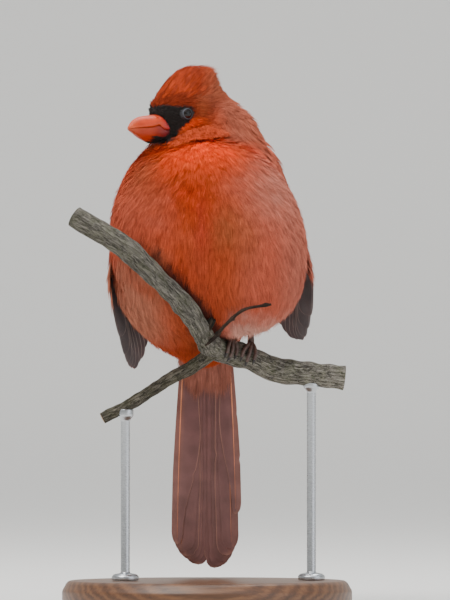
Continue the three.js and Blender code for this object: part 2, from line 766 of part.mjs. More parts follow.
const headMatrix = new THREE.Matrix4().makeRotationZ(headTurn).setPosition(headPlace);
const head = headSolid();
const headAround = skinGeometry([...headForms, crestRoom], headBlend, headMiddle, 5, gap + clearance.head);
headAround.applyMatrix4(headMatrix);
const headSpace = solidOf(headAround);
const headGroup = new THREE.Group();
headGroup.position.copy(headPlace);
headGroup.rotation.z = headTurn;
bird.add(headGroup);
addMesh(headGroup, 'head', geometryOf(head), plumageDeep, 0.8);

const billClear = solidOf(skinGeometry(headForms, headBlend, headMiddle, 7, gap + clearance.bill));
let upperBill = billSolid(true).subtract(billClear);
for (const side of [-1, 1]) {
	upperBill = upperBill.subtract(
		ballSolid(nostril.ahead, side * nostril.side, nostril.up, nostril.radius, 1, nostril.stretch),
	);
}
addMesh(headGroup, 'bill_upper', geometryOf(upperBill), horn, 0.45);
addMesh(headGroup, 'bill_lower', geometryOf(billSolid(false).subtract(billClear)), horn, 0.45);
for (const [name, side] of [['eye_left', 1], ['eye_right', -1]]) {
	const ball = new THREE.IcosahedronGeometry(eye.radius, 3);
	const mesh = addMesh(headGroup, name, mergeVertices(ball), eyeBlack, 0.08);
	mesh.position.set(eye.ahead, side * eye.side, eye.up);
}

const limb = limbSolid(limbPoints, 32, 9);
const limbSpace = limbSolid(limbPoints, 32, 9, gap + clearance.limb);
const fork = limbSolid(forkPoints, 12, 8).subtract(limbSpace);
const forkSpace = limbSolid(forkPoints, 12, 8, gap + clearance.fork);
const twig = limbSolid(twigPoints, 14, 6).subtract(limbSpace);

const body = solidOf(skinGeometry(bodyForms, bodyBlend, bodyMiddle, 8));
const bodySpace = solidOf(skinGeometry(bodyForms, bodyBlend, bodyMiddle, 8, gap + clearance.body));
const neckMiddle = new THREE.Vector3(...neckRoom.at);
const neckSolid = solidOf(skinGeometry([neckRoom], 1, neckMiddle, 4));
const neckSpace = solidOf(skinGeometry([neckRoom], 1, neckMiddle, 4, gap));
const neck = body.intersect(neckSolid).subtract(headSpace);
const torso = body.subtract(neckSpace).subtract(headSpace).subtract(limbSpace);
addMesh(bird, 'neck', geometryOf(neck), plumage, 0.8);
addMesh(bird, 'torso', geometryOf(torso), plumage, 0.8);
for (const [name, wing, seed] of [['wing_left', wings.left, 21], ['wing_right', wings.right, 22]]) {
	addMesh(bird, name, geometryOf(wingSolid(wing, seed).subtract(bodySpace)), wingBrown, 0.7);
}
addMesh(bird, 'tail', geometryOf(tailSolid().subtract(bodySpace)), tailBrown, 0.7);
for (const [name, x] of [['leg_left', feet.left], ['leg_right', feet.right]]) {
	addMesh(bird, name, geometryOf(legSolid(x).subtract(bodySpace).subtract(limbSpace)), shankBrown, 0.6);
}

addMesh(perch, 'perch_limb', geometryOf(limb), bark, 0.9);
addMesh(perch, 'perch_fork', geometryOf(fork), bark, 0.9);
addMesh(perch, 'perch_twig', geometryOf(twig), bark, 0.9);

const baseProfile = [
	new THREE.Vector2(0, 0),
	new THREE.Vector2(base.radius - base.bevel, 0),
	new THREE.Vector2(base.radius, base.bevel),
	new THREE.Vector2(base.radius, base.height - base.lip - base.step),
	new THREE.Vector2(base.radius - base.groove, base.height - base.lip),
	new THREE.Vector2(base.radius - base.rise, base.height - base.groove),
	new THREE.Vector2(base.radius - base.shoulder, base.height),
	new THREE.Vector2(0, base.height),
];
const baseDisc = new THREE.LatheGeometry(baseProfile, 40);
baseDisc.rotateX(Math.PI / 2);
addMesh(stand, 'stand_base', geometryOf(outward(mergeVertices(baseDisc))), wood, 0.5);

for (const [name, spot, space] of [
	['stand_rod_left', rodOnLimb, limbSpace],
	['stand_rod_right', rodOnFork, forkSpace],
]) {
	const profile = [
		new THREE.Vector2(0, base.height + gap),
		new THREE.Vector2(rod.footRadius, base.height + gap),
		new THREE.Vector2(rod.footRadius, base.height + rod.footHeight - 1),
		new THREE.Vector2(rod.footRadius - 1, base.height + rod.footHeight),
		new THREE.Vector2(rod.radius, base.height + rod.footHeight + 0.6),
		new THREE.Vector2(rod.radius, spot.top - rod.cupHeight),
		new THREE.Vector2(rod.cupRadius, spot.top - rod.cupHeight + 2),
		new THREE.Vector2(rod.cupRadius, spot.top),
		new THREE.Vector2(0, spot.top),
	];
	const post = new THREE.LatheGeometry(profile, 14);
	post.rotateX(Math.PI / 2);
	post.translate(spot.x, spot.y, 0);
	addMesh(stand, name, geometryOf(outward(mergeVertices(post)).subtract(space)), steel, 0.35, 0.9);
}

export default group;
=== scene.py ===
import math
from functools import partial

import bpy
import bmesh
import numpy as np
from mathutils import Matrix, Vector


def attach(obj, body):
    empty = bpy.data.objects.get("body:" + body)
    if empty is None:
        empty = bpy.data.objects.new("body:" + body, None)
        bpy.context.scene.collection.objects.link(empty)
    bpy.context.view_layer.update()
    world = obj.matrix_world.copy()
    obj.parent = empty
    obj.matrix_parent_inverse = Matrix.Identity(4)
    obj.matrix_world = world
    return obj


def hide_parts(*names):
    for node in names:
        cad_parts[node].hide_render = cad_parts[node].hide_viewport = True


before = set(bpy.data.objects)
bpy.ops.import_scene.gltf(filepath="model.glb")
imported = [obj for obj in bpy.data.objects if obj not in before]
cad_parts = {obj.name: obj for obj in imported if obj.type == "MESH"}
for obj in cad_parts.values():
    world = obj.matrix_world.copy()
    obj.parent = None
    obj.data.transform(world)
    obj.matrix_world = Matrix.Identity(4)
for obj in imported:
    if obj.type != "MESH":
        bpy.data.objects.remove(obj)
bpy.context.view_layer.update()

mm = 0.001  # every size below is in millimetres, Blender's are in metres
print("frame loaded")


# small helpers

def linear(colour):
    # sRGB hex to the linear colour that the shader takes
    parts = [int(colour[place:place + 2], 16) / 255 for place in (1, 3, 5)]
    return [part / 12.92 if part <= 0.04045 else ((part + 0.055) / 1.055) ** 2.4 for part in parts] + [1.0]


def tintOf(colour):
    return np.array(linear(colour)[:3])


def smoothstep(low, high, value):
    share = np.clip((value - low) / (high - low), 0, 1)
    return share * share * (3 - 2 * share)


def blendTint(tint, other, share):
    return tint + (other - tint) * np.asarray(share)[..., None]


def unit(vectors):
    return vectors / np.maximum(np.linalg.norm(vectors, axis=-1, keepdims=True), 1e-9)


def ripple(points, size, seed):
    # smooth seeded waviness, about -1 to 1, with swells about `size` apart
    draw = np.random.default_rng(seed)
    total = 0
    for _ in range(7):
        heading = unit(draw.normal(size=3)) * 2 * math.pi / size * draw.uniform(0.7, 1.5)
        total = total + np.sin(points @ heading + draw.uniform(0, 6.28))
    return total / 3.2


def addNode(material, kind, values=None, links=None, **settings):
    # one node with its settings, its socket values and what feeds it
    node = material.node_tree.nodes.new(kind)
    for name, value in settings.items():
        setattr(node, name, value)
    for socket, value in (values or {}).items():
        node.inputs[socket].default_value = value
    for socket, source in (links or {}).items():
        material.node_tree.links.new(source, node.inputs[socket])
    return node


def newMaterial(name):
    material = bpy.data.materials.new(name)
    material.use_nodes = True
    material.node_tree.nodes.clear()
    return material


def finishMaterial(material, values, links):
    shader = addNode(material, "ShaderNodeBsdfPrincipled", values, links)
    addNode(material, "ShaderNodeOutputMaterial", links={"Surface": shader.outputs["BSDF"]})


def paintedTint(material):
    # the colour that makePiece painted on the corners
    return addNode(material, "ShaderNodeAttribute", attribute_name="tint").outputs["Color"]


def objectPlace(material):
    return addNode(material, "ShaderNodeTexCoord").outputs["Object"]


def mapPlace(material, name):
    return addNode(material, "ShaderNodeUVMap", uv_map=name).outputs["UV"]


def noiseOf(material, scale, detail, vector=None, roughness=0.5, output="Fac"):
    values = {"Scale": scale, "Detail": detail, "Roughness": roughness}
    return addNode(material, "ShaderNodeTexNoise", values, vector and {"Vector": vector}).outputs[output]


def stretched(material, vector, scale, turn=(0, 0, 0)):
    values = {"Scale": scale, "Rotation": turn}
    return addNode(material, "ShaderNodeMapping", values, {"Vector": vector}).outputs["Vector"]


def rangeOf(material, value, low, high, start=0.3, end=0.7):
    # spreads a value from start-end, a noise's usual range, to low-high
    values = {"From Min": start, "From Max": end, "To Min": low, "To Max": high}
    return addNode(material, "ShaderNodeMapRange", values, {"Value": value}).outputs["Result"]


def mathOf(material, operation, *inputs):
    # each input is a number, or the socket that feeds it
    values = {place: item for place, item in enumerate(inputs) if isinstance(item, float)}
    links = {place: item for place, item in enumerate(inputs) if place not in values}
    return addNode(material, "ShaderNodeMath", values, links, operation=operation).outputs[0]


def shaded(material, colour, amount):
    links = {0: colour, "Scale": amount}
    return addNode(material, "ShaderNodeVectorMath", links=links, operation="SCALE").outputs["Vector"]


def mixed(material, share, first, second, blend="MIX"):
    # the share is a number or a socket, and the second colour a hex or a socket
    values, links = {}, {"Color1": first}
    if isinstance(share, float):
        values["Fac"] = share
    else:
        links["Fac"] = share
    if isinstance(second, str):
        values["Color2"] = linear(second)
    else:
        links["Color2"] = second
    return addNode(material, "ShaderNodeMixRGB", values, links, blend_type=blend).outputs["Color"]


def rampOf(material, value, stops):
    node = addNode(material, "ShaderNodeValToRGB", links={"Fac": value})
    ramp = node.color_ramp
    while len(ramp.elements) < len(stops):
        ramp.elements.new(0.5)
    for element, (place, colour) in zip(ramp.elements, stops):
        element.position = place
        element.color = linear(colour)
    return node.outputs["Color"]


def bumpOf(material, height, strength, distance):
    values = {"Strength": strength, "Distance": distance}
    return addNode(material, "ShaderNodeBump", values, {"Height": height}).outputs["Normal"]


def makePiece(name, corners, faces, material, tints=None, maps=None, smooth=True):
    # a mesh object from arrays: corners in mm, faces as one array or a list of arrays
    groups = faces if isinstance(faces, list) else [faces]
    loops = np.concatenate([group.ravel() for group in groups]).astype(np.int32)
    sizes = np.concatenate([np.full(len(group), group.shape[1]) for group in groups])
    starts = np.concatenate([[0], np.cumsum(sizes)[:-1]]).astype(np.int32)
    mesh = bpy.data.meshes.new(name)
    mesh.vertices.add(len(corners))
    mesh.vertices.foreach_set("co", (np.asarray(corners) * mm).astype(np.float32).ravel())
    mesh.loops.add(len(loops))
    mesh.loops.foreach_set("vertex_index", loops)
    mesh.polygons.add(len(starts))
    mesh.polygons.foreach_set("loop_start", starts)
    mesh.polygons.foreach_set("use_smooth", np.full(len(starts), smooth))
    mesh.update(calc_edges=True)
    if tints is not None:
        layer = mesh.color_attributes.new("tint", "FLOAT_COLOR", "POINT")
        painted = np.column_stack([tints, np.ones(len(tints))]).astype(np.float32)
        layer.data.foreach_set("color", painted.ravel())
    for mapName, places in (maps or {}).items():
        layer = mesh.uv_layers.new(name=mapName)
        layer.data.foreach_set("uv", places[loops].astype(np.float32).ravel())
    piece = bpy.data.objects.new(name, mesh)
    bpy.context.collection.objects.link(piece)
    mesh.materials.append(material)
    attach(piece, "root")
    return piece


def joinParts(parts):
    # several (corners, faces) pairs as one pair
    counts = np.cumsum([0] + [len(corners) for corners, _ in parts])
    faces = [part[1] + count for part, count in zip(parts, counts)]
    return np.concatenate([corners for corners, _ in parts]), np.concatenate(faces)


def bandFaces(rows, ring, inward=False):
    # quads between closed rings of corners, and the two ends: three arrays
    grid = np.arange(rows * ring).reshape(rows, ring)
    after = np.roll(grid, -1, 1)
    quads = np.stack([grid[:-1], after[:-1], after[1:], grid[1:]], -1).reshape(-1, 4)
    if inward:
        return [quads[:, [0, 3, 2, 1]], grid[:1], grid[-1:, ::-1]]
    return [quads, grid[:1, ::-1], grid[-1:]]


def runAlong(points):
    # how far along a line each of its points lies
    steps = np.linalg.norm(np.diff(np.array(points, float), axis=0), axis=-1)
    return np.concatenate([[0], np.cumsum(steps)])


def alongLine(points, share):
    # smooth line through the points, at shares of its length
    points = np.array(points, float)
    ends = np.vstack([2 * points[0] - points[1], points, 2 * points[-1] - points[-2]])
    dense = []
    for index in range(len(points) - 1):
        p0, p1, p2, p3 = ends[index:index + 4]
        d0, d1, d2 = (max(np.linalg.norm(b - a) ** 0.5, 1e-4) for a, b in ((p0, p1), (p1, p2), (p2, p3)))
        t1 = ((p1 - p0) / d0 - (p2 - p0) / (d0 + d1) + (p2 - p1) / d1) * d1
        t2 = ((p2 - p1) / d1 - (p3 - p1) / (d1 + d2) + (p3 - p2) / d2) * d1
        t = np.linspace(0, 1, 60, endpoint=index == len(points) - 2)[:, None]
        bent = (-3 * p1 + 3 * p2 - 2 * t1 - t2) * t ** 2 + (2 * p1 - 2 * p2 + t1 + t2) * t ** 3
        dense.append(p1 + t1 * t + bent)
    dense = np.concatenate(dense)
    run = runAlong(dense)
    return np.stack([np.interp(np.asarray(share) * run[-1], run, axis) for axis in dense.T], -1)


def bentLine(u, start, middle, end):
    return (1 - u) ** 2 * np.array(start) + 2 * u * (1 - u) * middle + u ** 2 * np.array(end)


# the body's masses: the outside of the coat, as the solids have it

body = {
    "blend": 2.6,
    "middle": (0, 0, 160),
    "forms": {
        "chest": ((-1, -13.5, 162), (42, 31, 43), 2.1),
        "belly": ((7.5, -13, 151), (35.8, 30.5, 31.5), 2.6),
        "shoulder": ((-19, -7, 184), (16, 17, 15.5), 2),
        "back": ((0, 9, 160), (34.5, 25, 38), 2.1),
        "mantle": ((4, 7, 190), (26, 22, 20), 2),
        "rump": ((-0.5, 16, 133), (20, 17, 24), 2),
        "flank": ((-15.5, 1, 144), (25.5, 24, 28), 2),
        "thigh": ((-8, 7, 127), (20, 18, 17), 2.2),
        "vent": ((-2, 15, 117), (13.5, 11, 13), 2),
        "nape": ((3.5, 8.5, 204), (20.5, 16.5, 19), 2),
        "throat": ((-12, -6, 199), (14, 11, 8), 2),
    },
}
head = {
    "place": (-15.3, -6, 216.4),
    "turn": -142,
    "blend": 1.4,
    "middle": (-4, 0, -1),
    "forms": {
        "skull": ((-5, 0, 0), (14.5, 12.2, 12.5), 2),
        "crown": ((-9, 0, 7), (13.5, 7.5, 9.5), 2),
        "hindCrown": ((-18, 0, 2.5), (12.5, 9.5, 10), 2),
        "face": ((0, 0, -4.5), (8.3, 8.2, 8.6), 2),
        "forehead": ((5.6, 0, 1.4), (5.2, 4.6, 3.6), 2),
        "chin": ((5.5, 0, -12.2), (6, 5, 3.4), 2),
    },
}
# how deep the skin lies under the outside of the coat
coat = {
    "join": 1.2,
    "bodyDepth": 4.2,
    "neckDepth": 2.0,
    "neckGap": (-16, -3),
    "crownDepth": 1.6,
    "faceDepth": 0.9,
    "faceFrom": (-8, 0),
    "headBorder": 2.5,
}
headPlace = np.array(head["place"])
headSpin = math.radians(head["turn"])
headAxes = np.array([
    [math.cos(headSpin), math.sin(headSpin), 0],
    [-math.sin(headSpin), math.cos(headSpin), 0],
    [0, 0, 1],
])  # rows: the head's forward, left and up in the world


def toHead(points):
    return (points - headPlace) @ headAxes.T


def fromHead(points):
    return points @ headAxes + headPlace


def meltedDistance(masses, points):
    total = 0
    for at, half, power in masses["forms"].values():
        away = points - np.array(at)
        share = np.maximum((np.abs(away / np.array(half)) ** power).sum(-1) ** (1 / power), 1e-6)
        near = (share - 1) * np.linalg.norm(away, axis=-1) / share
        total = total + np.exp(np.clip(-near / masses["blend"], -80, 60))
    return -masses["blend"] * np.log(total + 1e-30)


def coatDistance(points):
    onBody = meltedDistance(body, points)
    onHead = meltedDistance(head, toHead(points))
    return -coat["join"] * np.logaddexp(-onBody / coat["join"], -onHead / coat["join"])


def coatGap(points):
    # how much nearer the head's masses are than the body's
    return meltedDistance(body, points) - meltedDistance(head, toHead(points))


def headShare(points):
    return smoothstep(-coat["headBorder"], coat["headBorder"], coatGap(points))


def coatNormal(points):
    step = 0.25
    here = coatDistance(points)
    slope = np.stack([coatDistance(points + step * axis) - here for axis in np.eye(3)], -1)
    return unit(slope), here


def coatDepth(points):
    toFace = smoothstep(*coat["faceFrom"], toHead(points)[..., 0])
    headDepth = coat["crownDepth"] + (coat["faceDepth"] - coat["crownDepth"]) * toFace
    toNeck = smoothstep(*coat["neckGap"], coatGap(points))
    bodyDepth = coat["bodyDepth"] + (coat["neckDepth"] - coat["bodyDepth"]) * toNeck
    return bodyDepth + (headDepth - bodyDepth) * headShare(points)


def settle(points, level, rounds=3):
    # moves points along the normal until they stand at that distance from the outside of the coat
    for _ in range(rounds):
        normal, here = coatNormal(points)
        points = points + normal * (level - here)[..., None]
    return points


def reachOf(masses, start, heading):
    # how far the outside is in each direction, found by halving
    near = np.zeros(len(heading))
    far = np.full(len(heading), 120.0)
    for _ in range(24):
        middle = (near + far) / 2
        outside = meltedDistance(masses, start + heading * middle[:, None]) > 0
        far = np.where(outside, middle, far)
        near = np.where(outside, near, middle)
    return (near + far) / 2


# the branch's lines of places and radii; the coat is painted darker where the belly leans on it: painted
# shade, partly the down that shows where the coat parts
perch = {
    "limb": (((-58, -37, 170.2), 4.7), ((-35.2, -43.5, 156.1), 4.6), ((-26, -45, 147.8), 4.5),
             ((-17.4, -44.5, 139), 4.6), ((-10.3, -43, 131.7), 4.5), ((-5.5, -39.5, 125.2), 4.5),
             ((-2.2, -31.5, 119), 4.6), ((1.2, -18, 114.2), 4.8), ((7.2, -7, 111.4), 5.2),
             ((18.9, -4, 107.9), 5), ((28.9, -3, 103.3), 5.4), ((45.3, -1, 101.1), 5.3),
             ((60.5, 0, 99.4), 5.5)),
    "fork": (((3, -14, 111), 3.2), ((-7, -10, 103.8), 2.9), ((-16.3, -7.2, 98.9), 2.8),
             ((-34, -8.5, 87.9), 2.6), ((-46, -9.5, 81.6), 2.6)),
    "twig": (((-2, -27, 113.5), 0.95), ((2.6, -34, 116.6), 0.85), ((8.4, -40.5, 123), 0.75),
             ((16.3, -44.5, 129.5), 0.7), ((28.2, -44.5, 131.8), 0.5)),
    "stub": (((-2.5, -32, 119.5), 2.6), ((0.5, -35, 122.5), 2.1), ((2.6, -36.6, 125.6), 1.5)),
    "ridges": 17,
    "ridgeDepth": 0.3,
    "roughness": 0.3,
    "swellings": {"limb": ((62, 0.9, 3.0), (96, 0.8, 2.2), (118, 0.7, 3.5), (30, 0.5, 2.5)),
                  "twig": ((13, 4, 0.9), (24, 3.6, 0.8), (40.5, 4, 1.4))},  # place, height and half length
}


def barkClearance(points, part="limb"):
    # how far a place is from the bark, and how high it stands over the branch's middle line
    clear, over = np.full(len(points), 1e3), np.zeros(len(points))
    for (first, wide), (last, _) in zip(perch[part][:-1], perch[part][1:]):
        first, run = np.array(first), np.array(last) - np.array(first)
        share = np.clip((points - first) @ run / (run @ run), 0, 1)
        near = first + share[:, None] * run
        gap = np.linalg.norm(points - near, axis=-1) - wide
        over = np.where(gap < clear, points[:, 2] - near[:, 2], over)
        clear = np.minimum(gap, clear)
    return clear, over


# what colour the plumage is at a place on the bird, with painted shade in the cheek fold and along the
# branch, and painted light under the cheek

plumage = {
    "vivid": "#ff4a02",
    "bib": "#b8340f",
    "breast": "#bd401c",
    "stripe": "#ae3826",
    "rosy": "#c2614a",
    "pale": "#be7b6a",
    "deep": "#ac4a2f",
    "tawny": "#a45434",
    "hem": "#c59a8c",
    "flank": "#b47860",
    "back": "#7d4034",
    "nape": "#ac5e48",
    "crown": "#82301a",
    "hindCrown": "#a45c42",
    "cheek": "#fa5624",
    # jaw is paler than the cheek: painted light that lifts the shade under the cheek and bill
    "jaw": "#ff7444",
    "mask": "#2d2928",
    "vent": "#a8401e",
    # the dark grey of the feathers' bases; also used as painted shade in the cheek fold and along the branch
    "down": "#33211f",
}
tints = {name: tintOf(colour) for name, colour in plumage.items()}

# black feathers round the bill's root, back to just behind the eye, and on the chin
mask = {
    "edgeUp": (-16, -13, -10, -7.2, -5, -3, -1.6, 0, 1.6, 3, 5),
    "edgeAhead": (3.0, 2.1, 3.0, 1.6, -1.0, -3.5, -4.1, -4.1, -3.3, -1.6, 2),
    "topAhead": (-5, -3, 4, 8, 11),
    "topUp": (1.2, 2.6, 2.6, 3.2, 4.2),
    "fray": 0.35,
}


def maskShare(points):
    ahead, side, up = toHead(points).T
    fray = mask["fray"] * ripple(points, 1.6, 31)
    back = smoothstep(-0.5, 0.5, ahead - np.interp(up, mask["edgeUp"], mask["edgeAhead"]) + fray)
    top = smoothstep(0.5, -0.5, up - np.interp(ahead, mask["topAhead"], mask["topUp"]) + fray)
    throat = smoothstep(-7, -4, coatGap(points)) * smoothstep(-15.2, -14, up + fray)
    return back * top * np.maximum(headShare(points), throat)


# soft-edged patches on the breast and belly: tint, amount, middle across and up, half size across and up
patches = (
    ("vivid", 1.0, 2, 199, 17, 9), ("vivid", 0.5, -12, 194, 9, 7), ("bib", 0.8, -8, 181, 11, 9),
    ("breast", 0.6, 8, 190, 9, 7), ("pale", 0.75, 30, 182, 13, 14), ("rosy", 0.6, 15, 183, 8, 7),
    ("stripe", 0.8, -2.2, 164, 3.6, 15), ("deep", 0.7, -4, 140, 8, 22), ("tawny", 0.8, 8, 163, 6, 10),
    ("tawny", 0.5, 19, 160, 5, 12), ("deep", 0.55, 6, 132, 10, 9), ("rosy", 0.55, -22, 168, 9, 15),
)


def washed(tint, name, share):
    return blendTint(tint, tints[name], share)


def headMarkingsAndLight(points):
    ahead, side, up = toHead(points).T
    tint = np.tile(tints["crown"], (len(points), 1))
    tint = washed(tint, "hindCrown", 0.7 * smoothstep(-2, -14, ahead) * smoothstep(0, 10, up))
    tint = washed(tint, "cheek", smoothstep(-1, -5, up) * smoothstep(-16, -5, ahead))
    # painted light: the jaw is paler, to lift the shade under the cheek and bill
    tint = washed(tint, "jaw", smoothstep(-6, -10, up) * smoothstep(-14, -4, ahead))
    behindEye = np.exp(-((ahead + 9) / 4) ** 2 - ((up - 1) / 5) ** 2)
    tint = washed(tint, "tawny", 0.5 * behindEye)
    return washed(tint, "nape", 0.7 * smoothstep(-10, -20, ahead) * smoothstep(10, -2, up))


def markingsLightAndShade(points):
    x, y, z = points.T
    front = smoothstep(6, -12, y)
    high = smoothstep(172, 190, z)
    tint = np.tile(tints["breast"], (len(points), 1))
    tint = washed(tint, "tawny", 0.4 + 0.25 * ripple(points, 26, 5))
    tint = washed(tint, "rosy", 0.9 * smoothstep(9, 24, x - 0.1 * (z - 165)))
    tint = washed(tint, "rosy", 0.7 * smoothstep(-19, -36, x) * (1 - 0.6 * high))
    mottle = 1 + 0.25 * ripple(points, 7, 6)
    for name, amount, atX, atZ, halfX, halfZ in patches:
        blot = np.exp(-((x - atX) / halfX) ** 2 - ((z - atZ) / halfZ) ** 2) * front
        tint = washed(tint, name, amount * blot * mottle)
    tint = washed(tint, "pale", 0.5 * smoothstep(26, 40, x))
    low = smoothstep(156, 134, z + 6 * ripple(points, 18, 17))
    tint = washed(tint, "flank", 0.75 * smoothstep(-8, -28, x) * low * smoothstep(14, 2, y))
    ragged = smoothstep(131, 117, z + 2 * ripple(points, 8, 16))
    tint = washed(tint, "hem", 0.85 * ragged * smoothstep(2, 16, x) * front)
    tint = washed(tint, "back", 0.9 * smoothstep(2, 18, y))
    tint = washed(tint, "nape", smoothstep(198, 206, z) * smoothstep(-2, 15, x + 16 * smoothstep(-8, 6, y)))
    tint = washed(tint, "vent", smoothstep(120, 112, z) * smoothstep(-6, 4, y) * smoothstep(25, 16, y))
    tint = blendTint(tint, headMarkingsAndLight(points), headShare(points))
    # painted shade in the fold between the cheek and the breast
    ahead, side, up = toHead(points).T
    fold = np.exp(-((up + 12.4 + 0.12 * (ahead + 8)) / 0.7) ** 2)
    fold = fold * smoothstep(2, -3, ahead) * smoothstep(-22, -14, ahead)
    tint = washed(tint, "down", 0.2 * fold * smoothstep(4, 1, np.abs(coatGap(points))))
    # painted shade along the top of the branch, where the belly leans on it; partly the dark down that shows
    # where the coat parts over the bark
    clear, over = barkClearance(points)
    partedShade = smoothstep(4.8, 1.6, clear + 1.3 * ripple(points, 4, 15))
    tint = washed(tint, "down", 0.9 * partedShade * smoothstep(-1, 2, over))
    return washed(tint, "mask", maskShare(points))


def lieOf(points, normals):
    # the way the feathers lie: down the body, back along the head
    x, y, z = points.T
    fall = np.stack([
        0.006 * x + 0.032 * (x + 7) * smoothstep(168, 200, z) * smoothstep(5, -8, y),
        0.10 + 0.5 * smoothstep(135, 120, z) + 0.25 * smoothstep(-5, 12, y)
        - 0.7 * smoothstep(188, 202, z) * smoothstep(4, -8, y),
        -np.ones(len(points)),
    ], -1)
    ahead, side, up = toHead(points).T
    sweep = np.stack([
        -np.ones(len(points)),
        0.35 * np.sign(side) * smoothstep(0, 5, np.abs(side)) * smoothstep(4, 10, ahead),
        0.55 * smoothstep(2, 9, up) - 0.75 * smoothstep(-3, -11, up) - 0.3 * smoothstep(-10, -22, ahead),
    ], -1) @ headAxes
    onHead = headShare(points)
    lie = fall + (sweep - fall) * onHead[:, None]
    lie = lie - normals * (lie * normals).sum(-1, keepdims=True)
    return unit(lie)


print("markings ready")

# skin: one closed surface under the coat

skin = {"ballRounds": 6, "voxel": 1.5, "shade": 0.8}

# living skin, smooth and moist; painted with the tints of the feathers over it, darkened, as painted shade so
# that gaps never show pale
skinLeather = newMaterial("bird skin, soft and matte")
skinBump = bumpOf(skinLeather, noiseOf(skinLeather, 900.0, 3.0), 0.3, 0.0002)
finishMaterial(skinLeather, {"Roughness": 0.75, "IOR": 1.4},
               {"Base Color": paintedTint(skinLeather), "Normal": skinBump})


def ballSurface(masses, rounds):
    ball = bmesh.new()
    bmesh.ops.create_icosphere(ball, subdivisions=rounds, radius=1)
    heading = np.array([corner.co for corner in ball.verts])
    faces = np.array([[corner.index for corner in face.verts] for face in ball.faces])
    ball.free()
    middle = np.array(masses["middle"], float)
    return middle + heading * reachOf(masses, middle, heading)[:, None], faces


bodySurface, bodyFaces = ballSurface(body, skin["ballRounds"])
headSurface, headFaces = ballSurface(head, skin["ballRounds"])
roughCorners, roughFaces = joinParts([(bodySurface, bodyFaces), (fromHead(headSurface), headFaces)])
roughSkin = makePiece("roughSkin", roughCorners, roughFaces, skinLeather)
remesh = roughSkin.modifiers.new("one surface", "REMESH")
remesh.mode = "VOXEL"
remesh.voxel_size = skin["voxel"] * mm
remesh.use_smooth_shade = True
shaped = roughSkin.evaluated_get(bpy.context.evaluated_depsgraph_get()).to_mesh()
skinCorners = np.empty(len(shaped.vertices) * 3)
shaped.vertices.foreach_get("co", skinCorners)
skinCorners = skinCorners.reshape(-1, 3) / mm
shaped.calc_loop_triangles()
skinTriangles = np.empty(len(shaped.loop_triangles) * 3, dtype=np.int32)
shaped.loop_triangles.foreach_get("vertices", skinTriangles)
skinTriangles = skinTriangles.reshape(-1, 3)
bpy.data.objects.remove(roughSkin)
skinCorners = settle(skinCorners, -coatDepth(skinCorners))
# painted shade: the skin takes the coat's tints, darkened by the shade factor, so that gaps in the coat look
# shaded
skinPiece = makePiece("skin", skinCorners, skinTriangles, skinLeather,
                      tints=markingsLightAndShade(skinCorners) * skin["shade"])
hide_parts("head", "neck", "torso")
print("skin", len(skinTriangles), "triangles")

# coat: contour feathers as fans of loose barbs, laid over the skin

# loose keratin barbs coloured by carotenoid: matte and silky, a little light caught along each barb
barbs = newMaterial("loose feather barbs, silky")
barbTone = rangeOf(barbs, noiseOf(barbs, 260.0, 4.0, objectPlace(barbs), 0.6), 0.9, 1.08)
finishMaterial(barbs, {"Roughness": 0.7, "IOR": 1.45, "Specular IOR Level": 0.05, "Sheen Weight": 0.02,
                       "Sheen Roughness": 0.4, "Sheen Tint": linear("#ffb38a")},
               {"Base Color": shaded(barbs, paintedTint(barbs), barbTone)})

feathers = {
    "bodySpacing": 0.9, "bodyLength": 12, "bodyHalf": 2.2, "bodyBarbs": 13, "bodyBarbWidth": 0.075,
    "backBarbWidth": 0.1, "headSpacing": 0.46, "faceLength": 3.2, "crownLength": 7.5, "headHalf": 0.85,
    "headBarbs": 7, "headBarbWidth": 0.13, "headSwirl": 0.1, "kinds": 8, "tone": 0.13, "rootShade": 0.36,
    "headRootShade": 0.12, "downEnd": 0.45,
}


def barbFan(count, width, draw, stations=(0.0, 0.55)):
    # barbs that leave the shaft and end on a rounded tip: places along (0-1), aside and out, and faces
    along, aside, out, tone, faces = [], [], [], [], []
    for index in range(count):
        reach = (index / (count - 1) * 2 - 1) + draw.normal() * 0.06
        start = 0.25 * abs(reach) * draw.uniform(0.6, 1.2)
        end = 1 - 0.30 * reach ** 2 + draw.normal() * 0.05
        roll = draw.normal() * 0.25 * width
        shade = draw.normal()
        first = len(along)
        for share in stations:
            place = start + (end - start) * share
            middle = reach * (0.15 + 0.85 * share ** 0.8)
            broad = width * (1 - 0.35 * share)
            for edge in (-1, 1):
                along.append(place)
                aside.append(middle + edge * broad)
                out.append(edge * roll)
                tone.append(shade)
        along.append(end)
        aside.append(reach * 1.02)
        out.append(0)
        tone.append(shade)
        last = len(along) - 1
        for row in range(len(stations) - 1):
            a = first + row * 2
            faces += [[a, a + 1, a + 3], [a, a + 3, a + 2]]
        faces.append([last - 2, last - 1, last])
    return [np.array(part) for part in (along, aside, out, tone, faces)]


